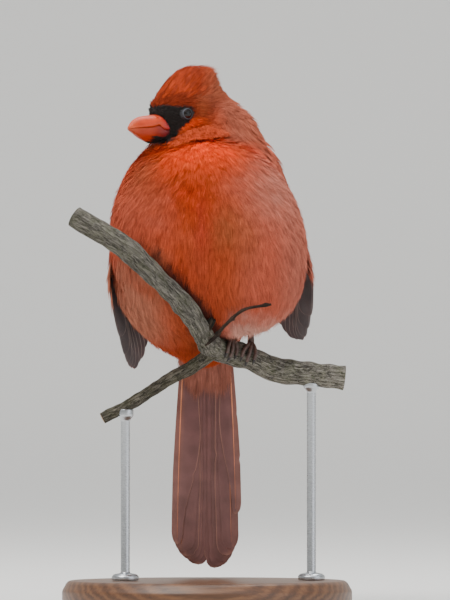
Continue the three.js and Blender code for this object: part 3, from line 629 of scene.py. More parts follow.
def layFans(name, line, normals, half, bakePlace, tint, fans, draw, cup=0.3, rootShade=None):
    # a piece with one fan on each line of three places, and the bake map
    start, middle, end = line
    rootShade = np.broadcast_to(feathers["rootShade"] if rootShade is None else rootShade, len(start))
    corners, faces, colours, places, total = [], [], [], [], 0
    kind = draw.integers(0, len(fans), len(start))
    for index, (along, aside, out, tone, fanFaces) in enumerate(fans):
        picked = np.where(kind == index)[0]
        if not len(picked):
            continue
        u = along[None, :, None]
        a, b, c = start[picked][:, None], middle[picked][:, None], end[picked][:, None]
        centre = (1 - u) * (1 - 2 * u) * a + 4 * u * (1 - u) * b + u * (2 * u - 1) * c
        tangent = unit((4 * u - 3) * a + (4 - 8 * u) * b + (4 * u - 1) * c)
        normal = normals[picked][:, None]
        normal = unit(normal - tangent * (normal * tangent).sum(-1, keepdims=True))
        side = np.cross(tangent, normal)
        wide = half[picked][:, None, None]
        place = centre + side * aside[None, :, None] * wide
        place = place + normal * (out[None, :, None] - cup * aside[None, :, None] ** 2) * wide
        corners.append(place.reshape(-1, 3))
        count = len(along)
        firsts = (np.arange(len(picked)) * count)[:, None, None]
        faces.append((fanFaces[None] + firsts).reshape(-1, 3) + total)
        total += len(picked) * count
        # the root part of each feather is darkened toward the down colour by rootShade: partly the grey bases
        # that real feathers have, partly painted shade deep in the coat
        grey = 1 - smoothstep(0.0, feathers["downEnd"], along)[None, :, None]
        dark = rootShade[picked][:, None, None] * grey
        colour = tint[picked][:, None] * (1 - dark) + tints["down"] * 0.6 * dark
        colour = colour * (1 + feathers["tone"] * tone[None, :, None])
        colours.append(np.clip(colour, 0.002, 1).reshape(-1, 3))
        patch = np.stack([aside * 0.5, along - 0.5], -1)[None] * 0.003
        places.append((bakePlace[picked][:, None] + patch).reshape(-1, 2))
    makePiece(name, np.concatenate(corners), np.concatenate(faces), barbs,
              tints=np.concatenate(colours), maps={"OFBake": np.concatenate(places)})
    print(name, len(start), "feathers", sum(len(group) for group in faces), "triangles")


def scatterRoots(spacing, keep, draw):
    # about one root in each cell of a grid of that spacing, on the skin, where `keep` allows
    a, b, c = (skinCorners[skinTriangles[:, index]] for index in range(3))
    area = np.linalg.norm(np.cross(b - a, c - a), axis=-1) / 2
    count = int(area.sum() / spacing ** 2 * 4)
    pick = draw.choice(len(area), count, p=area / area.sum())
    u, v = draw.random((2, count))
    swap = u + v > 1
    u, v = np.where(swap, 1 - u, u)[:, None], np.where(swap, 1 - v, v)[:, None]
    points = a[pick] + (b - a)[pick] * u + (c - a)[pick] * v
    points = points[keep(points)]
    cells = np.floor(points / (spacing * 1.22)).astype(int)
    _, first = np.unique(cells, axis=0, return_index=True)
    return points[first]


def unwrap(points, middle):
    # turn round an upright axis and height angle, on the skin's own round shape
    away = points - middle
    turn = np.arctan2(away[:, 0], -away[:, 1])
    rise = np.arctan2(away[:, 2], np.linalg.norm(away[:, :2], axis=-1))
    return np.stack([turn, rise], -1)


def fitUnwrap(places):
    low, high = places.min(0), places.max(0)
    return 0.02 + 0.96 * (places - low) / (high - low)


def layCoat(name, points, length, half, levels, fans, draw, middle=body["middle"],
            sag=None, swirl=0.16, splay=0.12, rootShade=None, rough=1, wash=None):
    # feathers rooted at the points; `levels` is how high their middle and tip stand over the coat's outside
    normals, _ = coatNormal(points)
    lie = lieOf(points, normals)
    across = np.cross(normals, lie)
    bend = swirl * ripple(points, 17, 8) + 0.5 * swirl * ripple(points, 6, 9)
    bend = bend + draw.normal(size=len(points)) * splay
    lie = unit(lie + across * bend[:, None])
    rise = draw.normal(size=len(points)) * 0.3 * rough
    middlePoint = points + lie * (length * 0.5)[:, None]
    middlePoint = settle(middlePoint, levels[0] + 0.5 * rise, 2)
    lie = unit(lie - normals * (lie * normals).sum(-1, keepdims=True))
    endPoint = settle(middlePoint + lie * (length * 0.5)[:, None], levels[1] + rise, 2)
    if sag is not None:
        endPoint = endPoint + np.array([0, 0, -1]) * sag[:, None]
        middlePoint = middlePoint + np.array([0, 0, -0.35]) * sag[:, None]
    tone = 1 + 0.04 * draw.normal(size=len(points)) + 0.05 * ripple(points * [1, 1, 0.25], 5, 12)
    tint = markingsLightAndShade(0.35 * middlePoint + 0.65 * endPoint) * tone[:, None]
    if wash is not None:
        tint = blendTint(tint, *wash)
    midNormals, _ = coatNormal(middlePoint)
    bakePlace = fitUnwrap(unwrap(points, np.array(middle)))
    layFans(name, (points, middlePoint, endPoint), midNormals, half, bakePlace, tint, fans, draw,
            rootShade=rootShade)


def fanKinds(draw, count, width, kinds=feathers["kinds"], **shape):
    return [barbFan(count, width, draw, **shape) for _ in range(kinds)]


draw = np.random.default_rng(20)
looseFans = fanKinds(draw, feathers["bodyBarbs"], feathers["bodyBarbWidth"])
closeFans = fanKinds(draw, feathers["bodyBarbs"], feathers["backBarbWidth"])
faceFans = fanKinds(draw, feathers["headBarbs"], feathers["headBarbWidth"])

bodyRoots = scatterRoots(feathers["bodySpacing"], lambda points: headShare(points) < 0.5, draw)
x, y, z = bodyRoots.T
onFront = y < 0
seam = np.where(onFront, 1, 0)  # where the right half meets the left one
areas = {
    "breast": onFront & (z >= 158),
    "belly": onFront & (z < 158),
    "back_upper": ~onFront & (z >= 165),
    "back": ~onFront & (z < 165),
}
halves = {"right": x < seam, "left": x >= seam}
for area, hand in [(area, hand) for area in areas for hand in halves]:
    points = bodyRoots[areas[area] & halves[hand]]
    count = len(points)
    x, y, z = points.T
    toHeadMass = meltedDistance(head, toHead(points))
    near = smoothstep(8, 1, np.abs(toHeadMass))  # shorter and smoother by the head
    length = feathers["bodyLength"] * draw.uniform(0.8, 1.15, count) * (1 - 0.35 * near)
    half = feathers["bodyHalf"] * draw.uniform(0.8, 1.2, count) * (1 - 0.2 * near)
    hem = smoothstep(142, 128, z) * smoothstep(5, -10, y) * smoothstep(-14, 4, x)
    shade = feathers["rootShade"] * (1 - 0.75 * smoothstep(14, 2, toHeadMass))
    fans = closeFans if "back" in area else looseFans
    layCoat("coat_" + area + "_" + hand, points, length, half, (-1.5, 0.1), fans, draw, sag=0.4 * hem,
            rootShade=shade, rough=1 - 0.5 * near)

# long loose wisps that soften the belly's lower edge and the outline
wisp = {"length": 13, "half": 1.7, "barbs": 7, "barbWidth": 0.06, "hemShare": 0.42, "edgeShare": 0.05,
        "sag": (0.0, 1.7), "tuft": 0.2, "tuftAt": 14}
wispFans = fanKinds(draw, wisp["barbs"], wisp["barbWidth"], stations=(0.0, 0.5, 0.8))
x, y, z = bodyRoots.T
hemPlace = smoothstep(140, 128, z) * smoothstep(8, -4, y) * smoothstep(-6, 6, x)
flankPlace = smoothstep(150, 134, z) * smoothstep(-6, -18, x)
wispShare = wisp["edgeShare"] + wisp["hemShare"] * np.maximum(hemPlace, flankPlace)
chosen = (draw.random(len(bodyRoots)) < wispShare) & (z < 200)
points, count = bodyRoots[chosen], int(chosen.sum())
lock = 1 + 0.8 * ripple(points, 8, 77)
sag = draw.uniform(*wisp["sag"], count) * lock * np.maximum(hemPlace, 0.2 * flankPlace)[chosen]
sag = sag * (1 + wisp["tuft"] * np.exp(-((points[:, 0] - wisp["tuftAt"]) / 5) ** 2))
layCoat("coat_wisps", points, wisp["length"] * draw.uniform(0.8, 1.2, count), np.full(count, wisp["half"]),
        (-1.0, 0.5), wispFans, draw, sag=sag, splay=0.25)


def onFaceRoots(points):
    ahead, side, up = toHead(points).T
    clearOfEye = (ahead / 3.1) ** 2 + ((up + 0.6) / 2.8) ** 2 > 1
    underBill = (ahead > 9.3) & (up < -1.5)
    return (headShare(points) >= 0.5) & (clearOfEye | (np.abs(side) < 7)) & ~underBill


headRoots = scatterRoots(feathers["headSpacing"], onFaceRoots, draw)
ahead, side, up = toHead(headRoots).T
eyeGap = np.hypot(ahead / 3.2, (up + 0.6) / 2.9)
toCrown = smoothstep(0, -12, ahead)
length = feathers["faceLength"] + (feathers["crownLength"] - feathers["faceLength"]) * toCrown
length = length * np.where(np.abs(side) > 7, 0.45 + 0.55 * smoothstep(1, 2.2, eyeGap), 1)
length = length * np.random.default_rng(3).uniform(0.8, 1.2, len(length))
length = length * (1 - 0.5 * smoothstep(6.5, 9.3, ahead) * (up < -9))
half = feathers["headHalf"] * (0.8 + 0.6 * toCrown)
for name, chosen in {"coat_face": ahead >= -4, "coat_hindhead": ahead < -4}.items():
    layCoat(name, headRoots[chosen], length[chosen], half[chosen], (-0.45, 0.05), faceFans, draw,
            headPlace, swirl=feathers["headSwirl"], splay=0.1,
            rootShade=feathers["headRootShade"])

# short feathers that raise the top of the breast up to the cheek, so that the fold closes to a thin line
collar = {"spacing": 0.6, "gap": (-9, -1), "above": 198, "from": -14, "to": 18, "length": 6, "half": 1.5,
          "rise": 1.9, "rootShade": 0.08, "red": "#bc4a2a"}
draw = np.random.default_rng(24)


def onCollar(points):
    gap = coatGap(points)
    x, y, z = points.T
    inGap = (gap > collar["gap"][0]) & (gap < collar["gap"][1])
    return inGap & (y < -6) & (z > collar["above"]) & (x > collar["from"]) & (x < collar["to"])


points = scatterRoots(collar["spacing"], onCollar, draw)
count, x = len(points), points[:, 0]
rise = collar["rise"] * smoothstep(*collar["gap"], coatGap(points))
rise = rise * smoothstep(collar["from"], -7, x) * smoothstep(collar["to"], 9, x)
length = collar["length"] * draw.uniform(0.8, 1.2, count)
redShare = 0.8 * smoothstep(18, 4, x + draw.normal(size=count) * 2) * (1 - maskShare(points))
layCoat("coat_collar", points, length, np.full(count, collar["half"]), (rise, 0.5 * rise), looseFans, draw,
        rootShade=collar["rootShade"], wash=(tintOf(collar["red"]), redShare))
print("coat laid")

# long feathers: vanes with a shaft, thin and closed, laid on a guide

# a vane's outline: width at its root and how fast it grows, where its tip begins and how round that is
vaneTips = {"round": (0.45, 1.4, 0.82, 2), "narrow": (0.5, 1.6, 0.8, 2.2), "broad": (0.4, 0.9, 0.93, 2)}
vane = {
    "thick": 0.14, "edgeThin": 0.6, "edge": 0.45, "sweep": 0.45, "arch": 0.012,
    "nicks": 2, "nickWidth": (0.85, 0.95), "narrowFrom": 0.42, "narrowTo": 0.96, "tone": 0.07,
    "quillRows": 14, "quillTaper": 0.82,
}


def vaneWidth(tip, share):
    root, grow, start, power = vaneTips[tip]
    closed = (np.maximum(share - start, 0) / (1 - start)) ** power
    return np.minimum(root + grow * share, 1) * np.sqrt(np.clip(1 - closed, 0, 1))


def layVane(place, root, tip, bend, half, lift, slope, outline, tints, draw, shaft=0.32, rows=26, columns=4,
            taper=(0, 0)):
    # `half` is the width before and behind the shaft; `tints` is web, leading web, edge and shaft
    run = np.array(tip) - np.array(root)
    length = np.hypot(*run)
    middle = (np.array(root) + np.array(tip)) / 2 + np.array([-run[1], run[0]]) / length * bend
    share = 1 - (1 - np.linspace(0, 1, rows)) ** 1.35  # rows stand closer toward the tip
    u = share[:, None]
    line = bentLine(u, root, middle, tip)
    along = unit(2 * (1 - u) * (middle - np.array(root)) + 2 * u * (np.array(tip) - middle))
    across = np.stack([-along[:, 1], along[:, 0]], -1)
    spots = np.linspace(-1, 1, columns * 2 + 1)
    rim = 1 - vane["edge"] / max(half)
    spots = np.sign(spots) * np.interp(np.abs(spots), [0, 1 - 1 / columns, 1], [0, rim, 1])
    leads = spots < 0
    narrow = smoothstep(vane["narrowFrom"], vane["narrowTo"], share)[:, None] ** 0.8
    width = vaneWidth(outline, share)[:, None] * (1 - narrow * np.where(leads, *taper))
    width = width * np.where(leads, *half)
    nick = np.ones((rows, 2))
    for _ in range(vane["nicks"]):
        nick[draw.integers(rows // 3, rows - 3), draw.integers(0, 2)] = draw.uniform(*vane["nickWidth"])
    width = width * np.where(np.abs(spots) > 0.9, np.where(leads, nick[:, :1], nick[:, 1:]), 1)
    reach = spots[None] * width
    swept = vane["sweep"] * np.abs(reach) * (1 - u) ** 0.3
    flat = line[:, None] + across[:, None] * reach[..., None] + along[:, None] * swept[..., None]
    height = lift[0] + (lift[1] - lift[0]) * u - slope * reach - vane["arch"] * reach ** 2
    edgeThin = 1 - vane["edgeThin"] * np.abs(spots)[None]
    layers = []
    for side in (-0.5, 0.5):
        layer = height + side * vane["thick"] * edgeThin
        layers.append(place(flat[..., 0].ravel(), flat[..., 1].ravel(), layer.ravel()))
    ring = len(spots)
    grid = np.arange(rows * ring).reshape(rows, ring)
    a, b, c, d = grid[:-1, :-1].ravel(), grid[:-1, 1:].ravel(), grid[1:, 1:].ravel(), grid[1:, :-1].ravel()
    faces = [np.stack([a, d, c, b], -1), np.stack([a, b, c, d], -1) + rows * ring]
    for border in (grid[:, 0], grid[::-1, -1], grid[0, ::-1], grid[-1]):
        first, second = border[:-1], border[1:]
        faces.append(np.stack([second, second + rows * ring, first + rows * ring, first], -1))
    web, leading, edge, quill = tints
    spot = np.tile(spots, rows)
    colour = np.where((spot < 0)[:, None], leading, web)
    colour = blendTint(colour, edge, 0.85 * (np.abs(spot) > rim + 0.001))
    colour = blendTint(colour, edge, 0.5 * smoothstep(0.985, 1, np.repeat(share, ring)))
    colour = np.tile(colour * (1 + vane["tone"] * draw.normal()), (2, 1))
    barbMap = np.tile(np.stack([reach.ravel(), np.repeat(share * length, ring)], -1), (2, 1)) * 0.01
    # the shaft, a tapered rod of four sides that stands out of both faces
    share = np.linspace(-0.02, 0.97, vane["quillRows"])
    quillLine = bentLine(share[:, None], root, middle, tip)
    size = shaft * (1 - vane["quillTaper"] * np.clip(share, 0, 1))
    quillLift = lift[0] + (lift[1] - lift[0]) * share
    quillSides = []
    for out, up in ((-1, 0), (0, 1), (1, 0), (0, -1)):
        level = quillLift + up * (size * 0.8 + vane["thick"] / 2)
        quillSides.append(place(quillLine[:, 0] + out * size, quillLine[:, 1], level))
    quillCorners = np.stack(quillSides, 1).reshape(-1, 3)
    grid = np.arange(len(quillCorners)).reshape(-1, 4)
    first = 2 * rows * ring
    for index in range(4):
        after = (index + 1) % 4
        quads = np.stack([grid[:-1, index], grid[:-1, after], grid[1:, after], grid[1:, index]], -1)
        faces.append(quads + first)
    faces.append(np.array([grid[0, ::-1], grid[-1]]) + first)
    colour = np.concatenate([colour, np.tile(quill, (len(quillCorners), 1))])
    barbMap = np.concatenate([barbMap, np.zeros((len(quillCorners), 2))])
    return np.concatenate(layers + [quillCorners]), np.concatenate(faces), colour, barbMap


def gatherVanes(name, vanes):
    corners, faces = joinParts([laid[:2] for laid in vanes])
    colour, barbMap = (np.concatenate([laid[column] for laid in vanes]) for column in (2, 3))
    piece = makePiece(name, corners, faces, vaneKeratin, tints=np.clip(colour, 0.002, 1),
                      maps={"barbs": barbMap})
    print(name, len(vanes), "vanes", len(faces) * 2, "triangles")
    return piece


# flight feather keratin, its barbs zipped flat: satin, with fine slanting lines on each side of the shaft.
# Real barbs stand 0.4 mm apart; they are drawn 0.9 mm apart so that they show.
vaneKeratin = newMaterial("flight feather keratin, zipped vane")
vaneSplit = addNode(vaneKeratin, "ShaderNodeSeparateXYZ", links={0: mapPlace(vaneKeratin, "barbs")}).outputs
vaneAside = mathOf(vaneKeratin, "ABSOLUTE", vaneSplit["X"])
vaneSlant = mathOf(vaneKeratin, "MULTIPLY_ADD", vaneAside, -1.4, vaneSplit["Y"])
vanePhase = mathOf(vaneKeratin, "MULTIPLY", vaneSlant, 2 * math.pi / 0.009)
vaneWave = mathOf(vaneKeratin, "SINE", vanePhase)
vaneTone = rangeOf(vaneKeratin, noiseOf(vaneKeratin, 140.0, 5.0, objectPlace(vaneKeratin)), 0.8, 1.15)
vaneLine = mathOf(vaneKeratin, "MULTIPLY_ADD", vaneWave, 0.06, vaneTone)
finishMaterial(vaneKeratin,
               {"Roughness": 0.55, "IOR": 1.54, "Specular IOR Level": 0.25, "Sheen Weight": 0.03},
               {"Base Color": shaded(vaneKeratin, paintedTint(vaneKeratin), vaneLine),
                "Normal": bumpOf(vaneKeratin, vaneWave, 0.35, 0.0001)})

# wings

wing = {
    "axis": (0, -4), "lead": 99, "round": 42, "clear": 0.9, "insetShare": 0.4, "insetRun": 16,
    "flareRun": 20, "dropFrom": 165, "dropRun": 50,
    "left": {"side": 1, "hangFrom": 162, "flare": 4.6, "drift": 0, "drop": 0},
    "right": {"side": -1, "hangFrom": 158, "flare": 1.6, "drift": 0.19, "drop": -12.5},
    "dusk": "#686365", "duskPale": "#807a7b", "redWeb": "#8a4030", "red": "#a8462f", "edge": "#b8a49d",
    "quill": "#38302f",
    # outline, rows and shaft of each kind of vane
    "kinds": {"flight": ("narrow", 28, 0.3), "inner": ("round", 24, 0.3), "covert": ("round", 16, 0.16),
              "small": ("round", 14, 0.16)},
    # roots and tips are (across, height) of the first and last feather; `passes` is how far the longest one
    # reaches below that line, and `longest` where it is in the row
    "rows": (
        {"kind": "flight", "count": 9, "roots": ((3, 166), (17, 163)), "tips": ((2.6, 127), (24.5, 122)),
         "longest": 0.4, "passes": 9, "blunt": 0.7, "lift": (1.9, 1.6), "half": (2.4, 5.2), "broad": 2.6,
         "slope": 0.22},
        {"kind": "inner", "count": 6, "roots": ((14, 172), (28, 171)), "tips": ((18, 138.5), (34, 146)),
         "longest": 0.5, "passes": 1.5, "lift": (4.2, 3.4), "half": (2.6, 4.8), "slope": 0.21},
        {"kind": "inner", "count": 3, "roots": ((29, 172), (37, 172)), "tips": ((31, 149), (39.5, 157)),
         "longest": 0.5, "passes": 0, "lift": (4.9, 4.2), "half": (3.9, 4.5), "slope": 0.18},
        {"kind": "covert", "count": 7, "roots": ((4, 177), (14, 176)), "tips": ((5.5, 163), (17, 162)),
         "longest": 0.5, "passes": 0.5, "lift": (3.8, 3.6), "half": (1.6, 2.8), "slope": 0.2},
        {"kind": "covert", "count": 8, "roots": ((14, 180), (35, 179)), "tips": ((18, 163), (38, 167)),
         "longest": 0.5, "passes": 0.8, "lift": (5.2, 5.0), "half": (2.2, 3.4), "slope": 0.18},
        {"kind": "small", "count": 9, "roots": ((6, 187), (34, 186)), "tips": ((7.5, 174), (36, 176)),
         "longest": 0.5, "passes": 0.8, "lift": (2.6, 5.6), "half": (2.2, 3.0), "slope": 0.14},
    ),
    # pad of down under the coverts: height, thickness and the width it spans
    "pad": ((193, -0.6, 9, 27), (187, 2.2, 5, 33), (176, 4.4, 3, 38), (163, 2.4, 4, 30)),
    "padSpots": 9, "padUnder": -1.6,
    "coverts": {"count": 1000, "heights": (177, 199), "middle": 20, "across": (-15.5, 16),
                "long": (6.5, 10.5), "half": (1.7, 2.3),
                "rootHeights": (176, 184, 190, 195, 200), "rootLifts": (4.4, 4.2, 2.0, -0.8, -2.6),
                "endHeights": (168, 178, 184, 190, 196), "endLifts": (6.3, 6.2, 4.6, 1.4, -0.6)},
    # `across` and `heights` are where these feathers start and the breadth they cover
    "flank": {"count": 800, "across": (-14, 14), "heights": (151, 48), "long": (6.5, 12.5),
              "half": (1.8, 2.5), "reach": (0.5, 1.25), "rootLift": -2.2,
              "middleAcross": (-14, -8, 0), "middleLifts": (-1.2, -0.6, 2.6),
              "endAcross": (-9, 0, 4, 7), "endLifts": (-0.1, 1.2, 4.4, 6)},
}


def wingPlace(side, across, height, lift):
    # a place on the wing: mm round the body from its leading edge, height, and lift over the coat's outside
    height = height + side["drop"] * np.clip((wing["dropFrom"] - height) / wing["dropRun"], 0, 1)
    turn = math.radians(wing["lead"]) + across / wing["round"]
    heading = np.stack([side["side"] * np.sin(turn), -np.cos(turn), np.zeros(len(turn))], -1)
    start = np.zeros((len(turn), 3)) + [*wing["axis"], 0]
    start[:, 2] = np.maximum(height, side["hangFrom"])
    hang = side["hangFrom"] - np.minimum(height, side["hangFrom"])
    flare = side["flare"] * smoothstep(0, wing["flareRun"], hang)
    flare = flare - side["drift"] * np.maximum(0, hang - wing["flareRun"])
    inset = wing["insetShare"] + (1 - wing["insetShare"]) * smoothstep(0, wing["insetRun"], across)
    stand = wing["clear"] + np.where(lift > 0, lift * inset, lift)
    reach = reachOf(body, start, heading) + stand + flare
    return np.stack([start[:, 0] + heading[:, 0] * reach, start[:, 1] + heading[:, 1] * reach, height], -1)


def between(pair, share):
    first, last = np.array(pair, float)
    return first + (last - first) * share


wingTints = {name: tintOf(wing[name]) for name in ("dusk", "duskPale", "redWeb", "red", "edge", "quill")}


def vaneTints(kind, share):
    # web, leading web, edge and shaft
    dusk, pale, redWeb, red, edge, quill = wingTints.values()
    if kind == "flight":
        return (blendTint(dusk, redWeb, 0.12 * smoothstep(0.3, 0.9, share)),
                blendTint(pale, redWeb, 0.8 * smoothstep(0.2, 0.6, share)), edge, quill)
    if kind == "inner":
        return blendTint(dusk, redWeb, 0.5), redWeb, redWeb, quill
    if kind == "covert":
        return blendTint(dusk, redWeb, 0.7), red, red, quill
    return redWeb, red, red, redWeb


def wingRow(row, place, draw):
    outline, rows, shaft = wing["kinds"][row["kind"]]
    vanes = []
    for share in np.arange(row["count"]) / (row["count"] - 1):
        long = share / row["longest"] if share < row["longest"] else (1 - share) / (1 - row["longest"])
        root, tip = between(row["roots"], share), between(row["tips"], share)
        tip[0] += draw.uniform(-0.2, 0.2)
        passes = row["passes"] * math.sin(long * math.pi / 2) ** row.get("blunt", 1)
        tip[1] -= passes + draw.uniform(-0.5, 0.5)
        half = (row["half"][0], row["half"][1] + row.get("broad", 0) * max(0, 1 - share / 0.4))
        vanes.append(layVane(place, root, tip, -1, half, row["lift"], row["slope"], outline,
                             vaneTints(row["kind"], share), draw, rows=rows, shaft=shaft))
    return vanes


def layPad(name, place):
    spots = wing["padSpots"]
    bulge = np.sqrt(np.clip(1 - np.linspace(-1, 1, spots) ** 2, 0.1, 1))
    rows = []
    for height, thick, first, last in wing["pad"]:
        across, level = np.linspace(first, last, spots), np.full(spots, float(height))
        rows.append(place(across, level, thick * bulge))
        rows.append(place(across[::-1], level, np.full(spots, wing["padUnder"])))
    corners = np.concatenate(rows)
    # painted shade: the pad takes the wing's red web tint darkened to 0.6, as shaded feathers under the
    # coverts
    makePiece(name, corners, bandFaces(len(wing["pad"]), spots * 2), skinLeather,
              tints=np.tile(wingTints["redWeb"] * 0.6, (len(corners), 1)))


def layCoverts(name, place, draw):
    # small red coverts over the shoulder
    covert = wing["coverts"]
    count = covert["count"]
    height = draw.uniform(*covert["heights"], count)
    closer = 1 - 0.6 * smoothstep(182, 200, height)
    across = covert["middle"] + draw.uniform(*covert["across"], count) * closer
    height = height + 1.5 * np.sin(across * 0.55)
    long = draw.uniform(*covert["long"], count)
    rootLift = np.interp(height, covert["rootHeights"], covert["rootLifts"]) + 0.2
    endLift = np.interp(height - long, covert["endHeights"], covert["endLifts"]) + draw.uniform(0, 0.5, count)
    line = (place(across, height, rootLift),
            place(across + 0.4, height - long / 2, (rootLift + endLift) / 2 + 0.8),
            place(across + 1.0, height - long, endLift))
    facing = unit((line[1] - [*wing["axis"], 0]) * [1, 1, 0])
    tint = np.tile(wingTints["red"], (count, 1))
    tint = blendTint(tint, markingsLightAndShade(line[2]), 0.85 * smoothstep(183, 195, height))
    tint = tint * (1 + 0.08 * draw.normal(size=count))[:, None]
    layFans(name, line, facing, draw.uniform(*covert["half"], count),
            fitUnwrap(np.stack([across, height], -1)), tint, closeFans, draw)


def layFlank(name, place, side, draw):
    # flank feathers that lie over the wing's leading edge
    flank = wing["flank"]
    count = flank["count"]
    across = flank["across"][0] + flank["across"][1] * draw.beta(1.5, 1.0, count)
    height = flank["heights"][0] + flank["heights"][1] * draw.beta(1.5, 1.4, count) + 0.9 * (across + 7)
    height = height + draw.normal(size=count) * 2
    flared = side["flare"] * smoothstep(0, wing["flareRun"], side["hangFrom"] - height)
    onto = draw.uniform(*flank["reach"], count)  # how far each one reaches over the wing
    long = draw.uniform(*flank["long"], count)
    middleLift = np.interp(across, flank["middleAcross"], flank["middleLifts"]) - 0.5 * flared
    endLift = np.interp(across + 6 * onto, flank["endAcross"], flank["endLifts"]) - 0.3 * flared
    line = (place(across, height, flank["rootLift"] - flared),
            place(across + 3.2 * onto, height - long / 2, middleLift),
            place(across + 6.2 * onto + draw.normal(size=count) * 0.5, height - long, endLift))
    facing, _ = coatNormal(line[1])
    tone = (1 + 0.06 * draw.normal(size=count))[:, None]
    layFans(name, line, facing, draw.uniform(*flank["half"], count),
            fitUnwrap(np.stack([across, height], -1)), markingsLightAndShade(line[2]) * tone, looseFans, draw)


for name in ("left", "right"):
    side = wing[name]
    draw = np.random.default_rng(40 + side["side"])
    place = partial(wingPlace, side)
    vanes = [laid for row in wing["rows"] for laid in wingRow(row, place, draw)]
    wingPiece = gatherVanes("wing_feathers_" + name, vanes)
    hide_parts("wing_" + name)
    layPad("wing_pad_" + name, place)
    layCoverts("coat_lesser_coverts_" + name, place, draw)
    layFlank("coat_flank_" + name, place, side, draw)

# tail

tail = {
    "at": (-0.4, 23, 118), "lean": 14.5, "bow": 0.012, "pairs": 6, "step": 0.42,
    "roots": (0.5, 9.4), "tips": (3.6, 13), "outer": (6.2, 2.6),
    "inner": {"right": (4.6, 11.6), "left": (4.2, 7.6)}, "taper": 0.8, "shaftHalf": 0.42,
    "reach": {"right": (105.5, 104, 103, 101.5, 99, 96), "left": (107, 106, 104, 101, 98, 82)},
    "edgeShow": (0.9, 0.1, 0.2, 1, 0.1, 1),  # how pale each pair's edges are, from the tail's middle outward
    "web": "#724a48", "outerWeb": "#84544a", "tipWeb": "#8c6a66", "edge": "#d0987f", "shaft": "#e29068",
    "covert": "#a06455",
    # coverts under and over its root: how many, and how far their roots are from the tail's middle
    "coverts": {"under": (520, 2.8), "upper": (380, -0.1)}, "covertLong": (11, 22), "covertHalf": (1.8, 2.8),
}
tailLean = math.radians(tail["lean"])


def tailPlace(across, down, lift):
    out = lift - across * across * tail["bow"]
    return np.stack([tail["at"][0] + across,
                     tail["at"][1] + down * math.sin(tailLean) - out * math.cos(tailLean),
                     tail["at"][2] - down * math.cos(tailLean) - out * math.sin(tailLean)], -1)


tailTints = {name: tintOf(tail[name]) for name in ("web", "outerWeb", "tipWeb", "edge", "shaft", "covert")}
draw = np.random.default_rng(60)
vanes = []
for name, side in (("right", -1), ("left", 1)):
    for pair in range(tail["pairs"]):
        share = pair / (tail["pairs"] - 1)
        lift = pair * tail["step"] + (0.2 if side > 0 else 0) + 0.3
        half = (between(tail["outer"], share), between(tail["inner"][name], share ** 3))
        narrow = (0, tail["taper"] * share ** 5)
        web = (tailTints["web"], tailTints["outerWeb"])
        if side < 0:
            half, narrow, web = half[::-1], narrow[::-1], web[::-1]
        root = [side * between(tail["roots"], share), -3.0]
        tip = [side * between(tail["tips"], share), tail["reach"][name][pair]]
        edge = blendTint(tailTints["web"], tailTints["edge"], tail["edgeShow"][pair])
        laid = layVane(tailPlace, root, tip, -side * 1.2 * share, half, (lift, lift), 0, "broad",
                       (*web, edge, tailTints["shaft"]), draw, shaft=tail["shaftHalf"], rows=40, columns=5,
                       taper=narrow)
        toTip = 0.4 * smoothstep(25, 85, laid[3][:, 1] * 100)
        vanes.append((*laid[:2], blendTint(laid[2], tailTints["tipWeb"], toTip), laid[3]))
tailPiece = gatherVanes("tail_feathers", vanes)
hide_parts("tail")

for name, face in (("under", 1), ("upper", -1)):
    count, deep = tail["coverts"][name]
    across, down = draw.uniform(-10.5, 10.5, count), draw.uniform(-9, 9, count)
    across = across * (1 - 0.2 * smoothstep(-4, 9, down))
    swell = np.interp(down, [-9, 0, 9], [5.5, 3.0, 0.8])
    length = draw.uniform(*tail["covertLong"], count)
    full = draw.uniform(0.1, 1, count)  # fills the room between the tail and the outermost coverts
    endAcross = across * 1.06 + draw.normal(size=count) * 0.6
    endLift = deep + 0.05 + swell * 0.1 + draw.uniform(0, 0.6, count)
    line = (tailPlace(across, down, face * (deep + swell * 0.55 * full)),
            tailPlace(across * 1.03, down + length * 0.5, face * (deep + swell * 0.75 * full + 0.6)),
            tailPlace(endAcross, down + length, face * endLift))
    facing = np.tile(np.array([0, -math.cos(tailLean), -math.sin(tailLean)]) * face, (count, 1))
    tint = tailTints["covert"] if face > 0 else tints["back"]
    tint = tint * (1 + 0.12 * draw.normal(size=count))[:, None]
    layFans("coat_tail_coverts_" + name, line, facing,
            draw.uniform(*tail["covertHalf"], count), fitUnwrap(np.stack([across, down], -1)), tint,
            looseFans, draw, cup=0.2)

# crest

crest = {
    # the crest's edge in the head's own frame: ahead and up
    "tips": ((1.2, 15.6), (-7.5, 20.8), (-16, 21.6), (-24.2, 20.6), (-27, 14.5), (-28, 9.5)),
    "rootAhead": (-17, -10, -3, 4, 9.5), "tipShare": (1, 0.75, 0.5, 0.25, 0),  # what part each root feeds
    "axisUp": 3.5, "spread": 88, "soft": 35, "share": 0.8, "pinch": 0.28, "rise": 0.8, "half": 1.2,
    "barbs": 7, "barbWidth": 0.1, "kinds": 6, "bow": 0.1, "flat": 8,
}

draw = np.random.default_rng(70)
ahead, side, up = toHead(headRoots).T
crownAngle = np.arctan2(np.abs(side), up - crest["axisUp"])
share = smoothstep(math.radians(crest["spread"]), math.radians(crest["spread"] - crest["soft"]), crownAngle)
chosen = (draw.random(len(headRoots)) < crest["share"] * share) & (ahead < 9.5) & (ahead > -24)
worldStart, crownAngle = headRoots[chosen], crownAngle[chosen]
start = toHead(worldStart)
ahead, side, up = start.T
count = len(start)
normals, _ = coatNormal(worldStart)
flatEnd = toHead(settle(worldStart + lieOf(worldStart, normals) * crest["flat"], 0.2, 2))
ridge = alongLine(crest["tips"], np.interp(ahead, crest["rootAhead"], crest["tipShare"]))
ridgeEnd = np.stack([ridge[:, 0], crest["pinch"] * side + draw.normal(size=count) * 0.3,
                     ridge[:, 1] - 0.06 * np.abs(side) - draw.uniform(0, 0.8, count)], -1)
raised = np.cos(np.minimum(crownAngle, math.pi / 2)) ** crest["rise"]
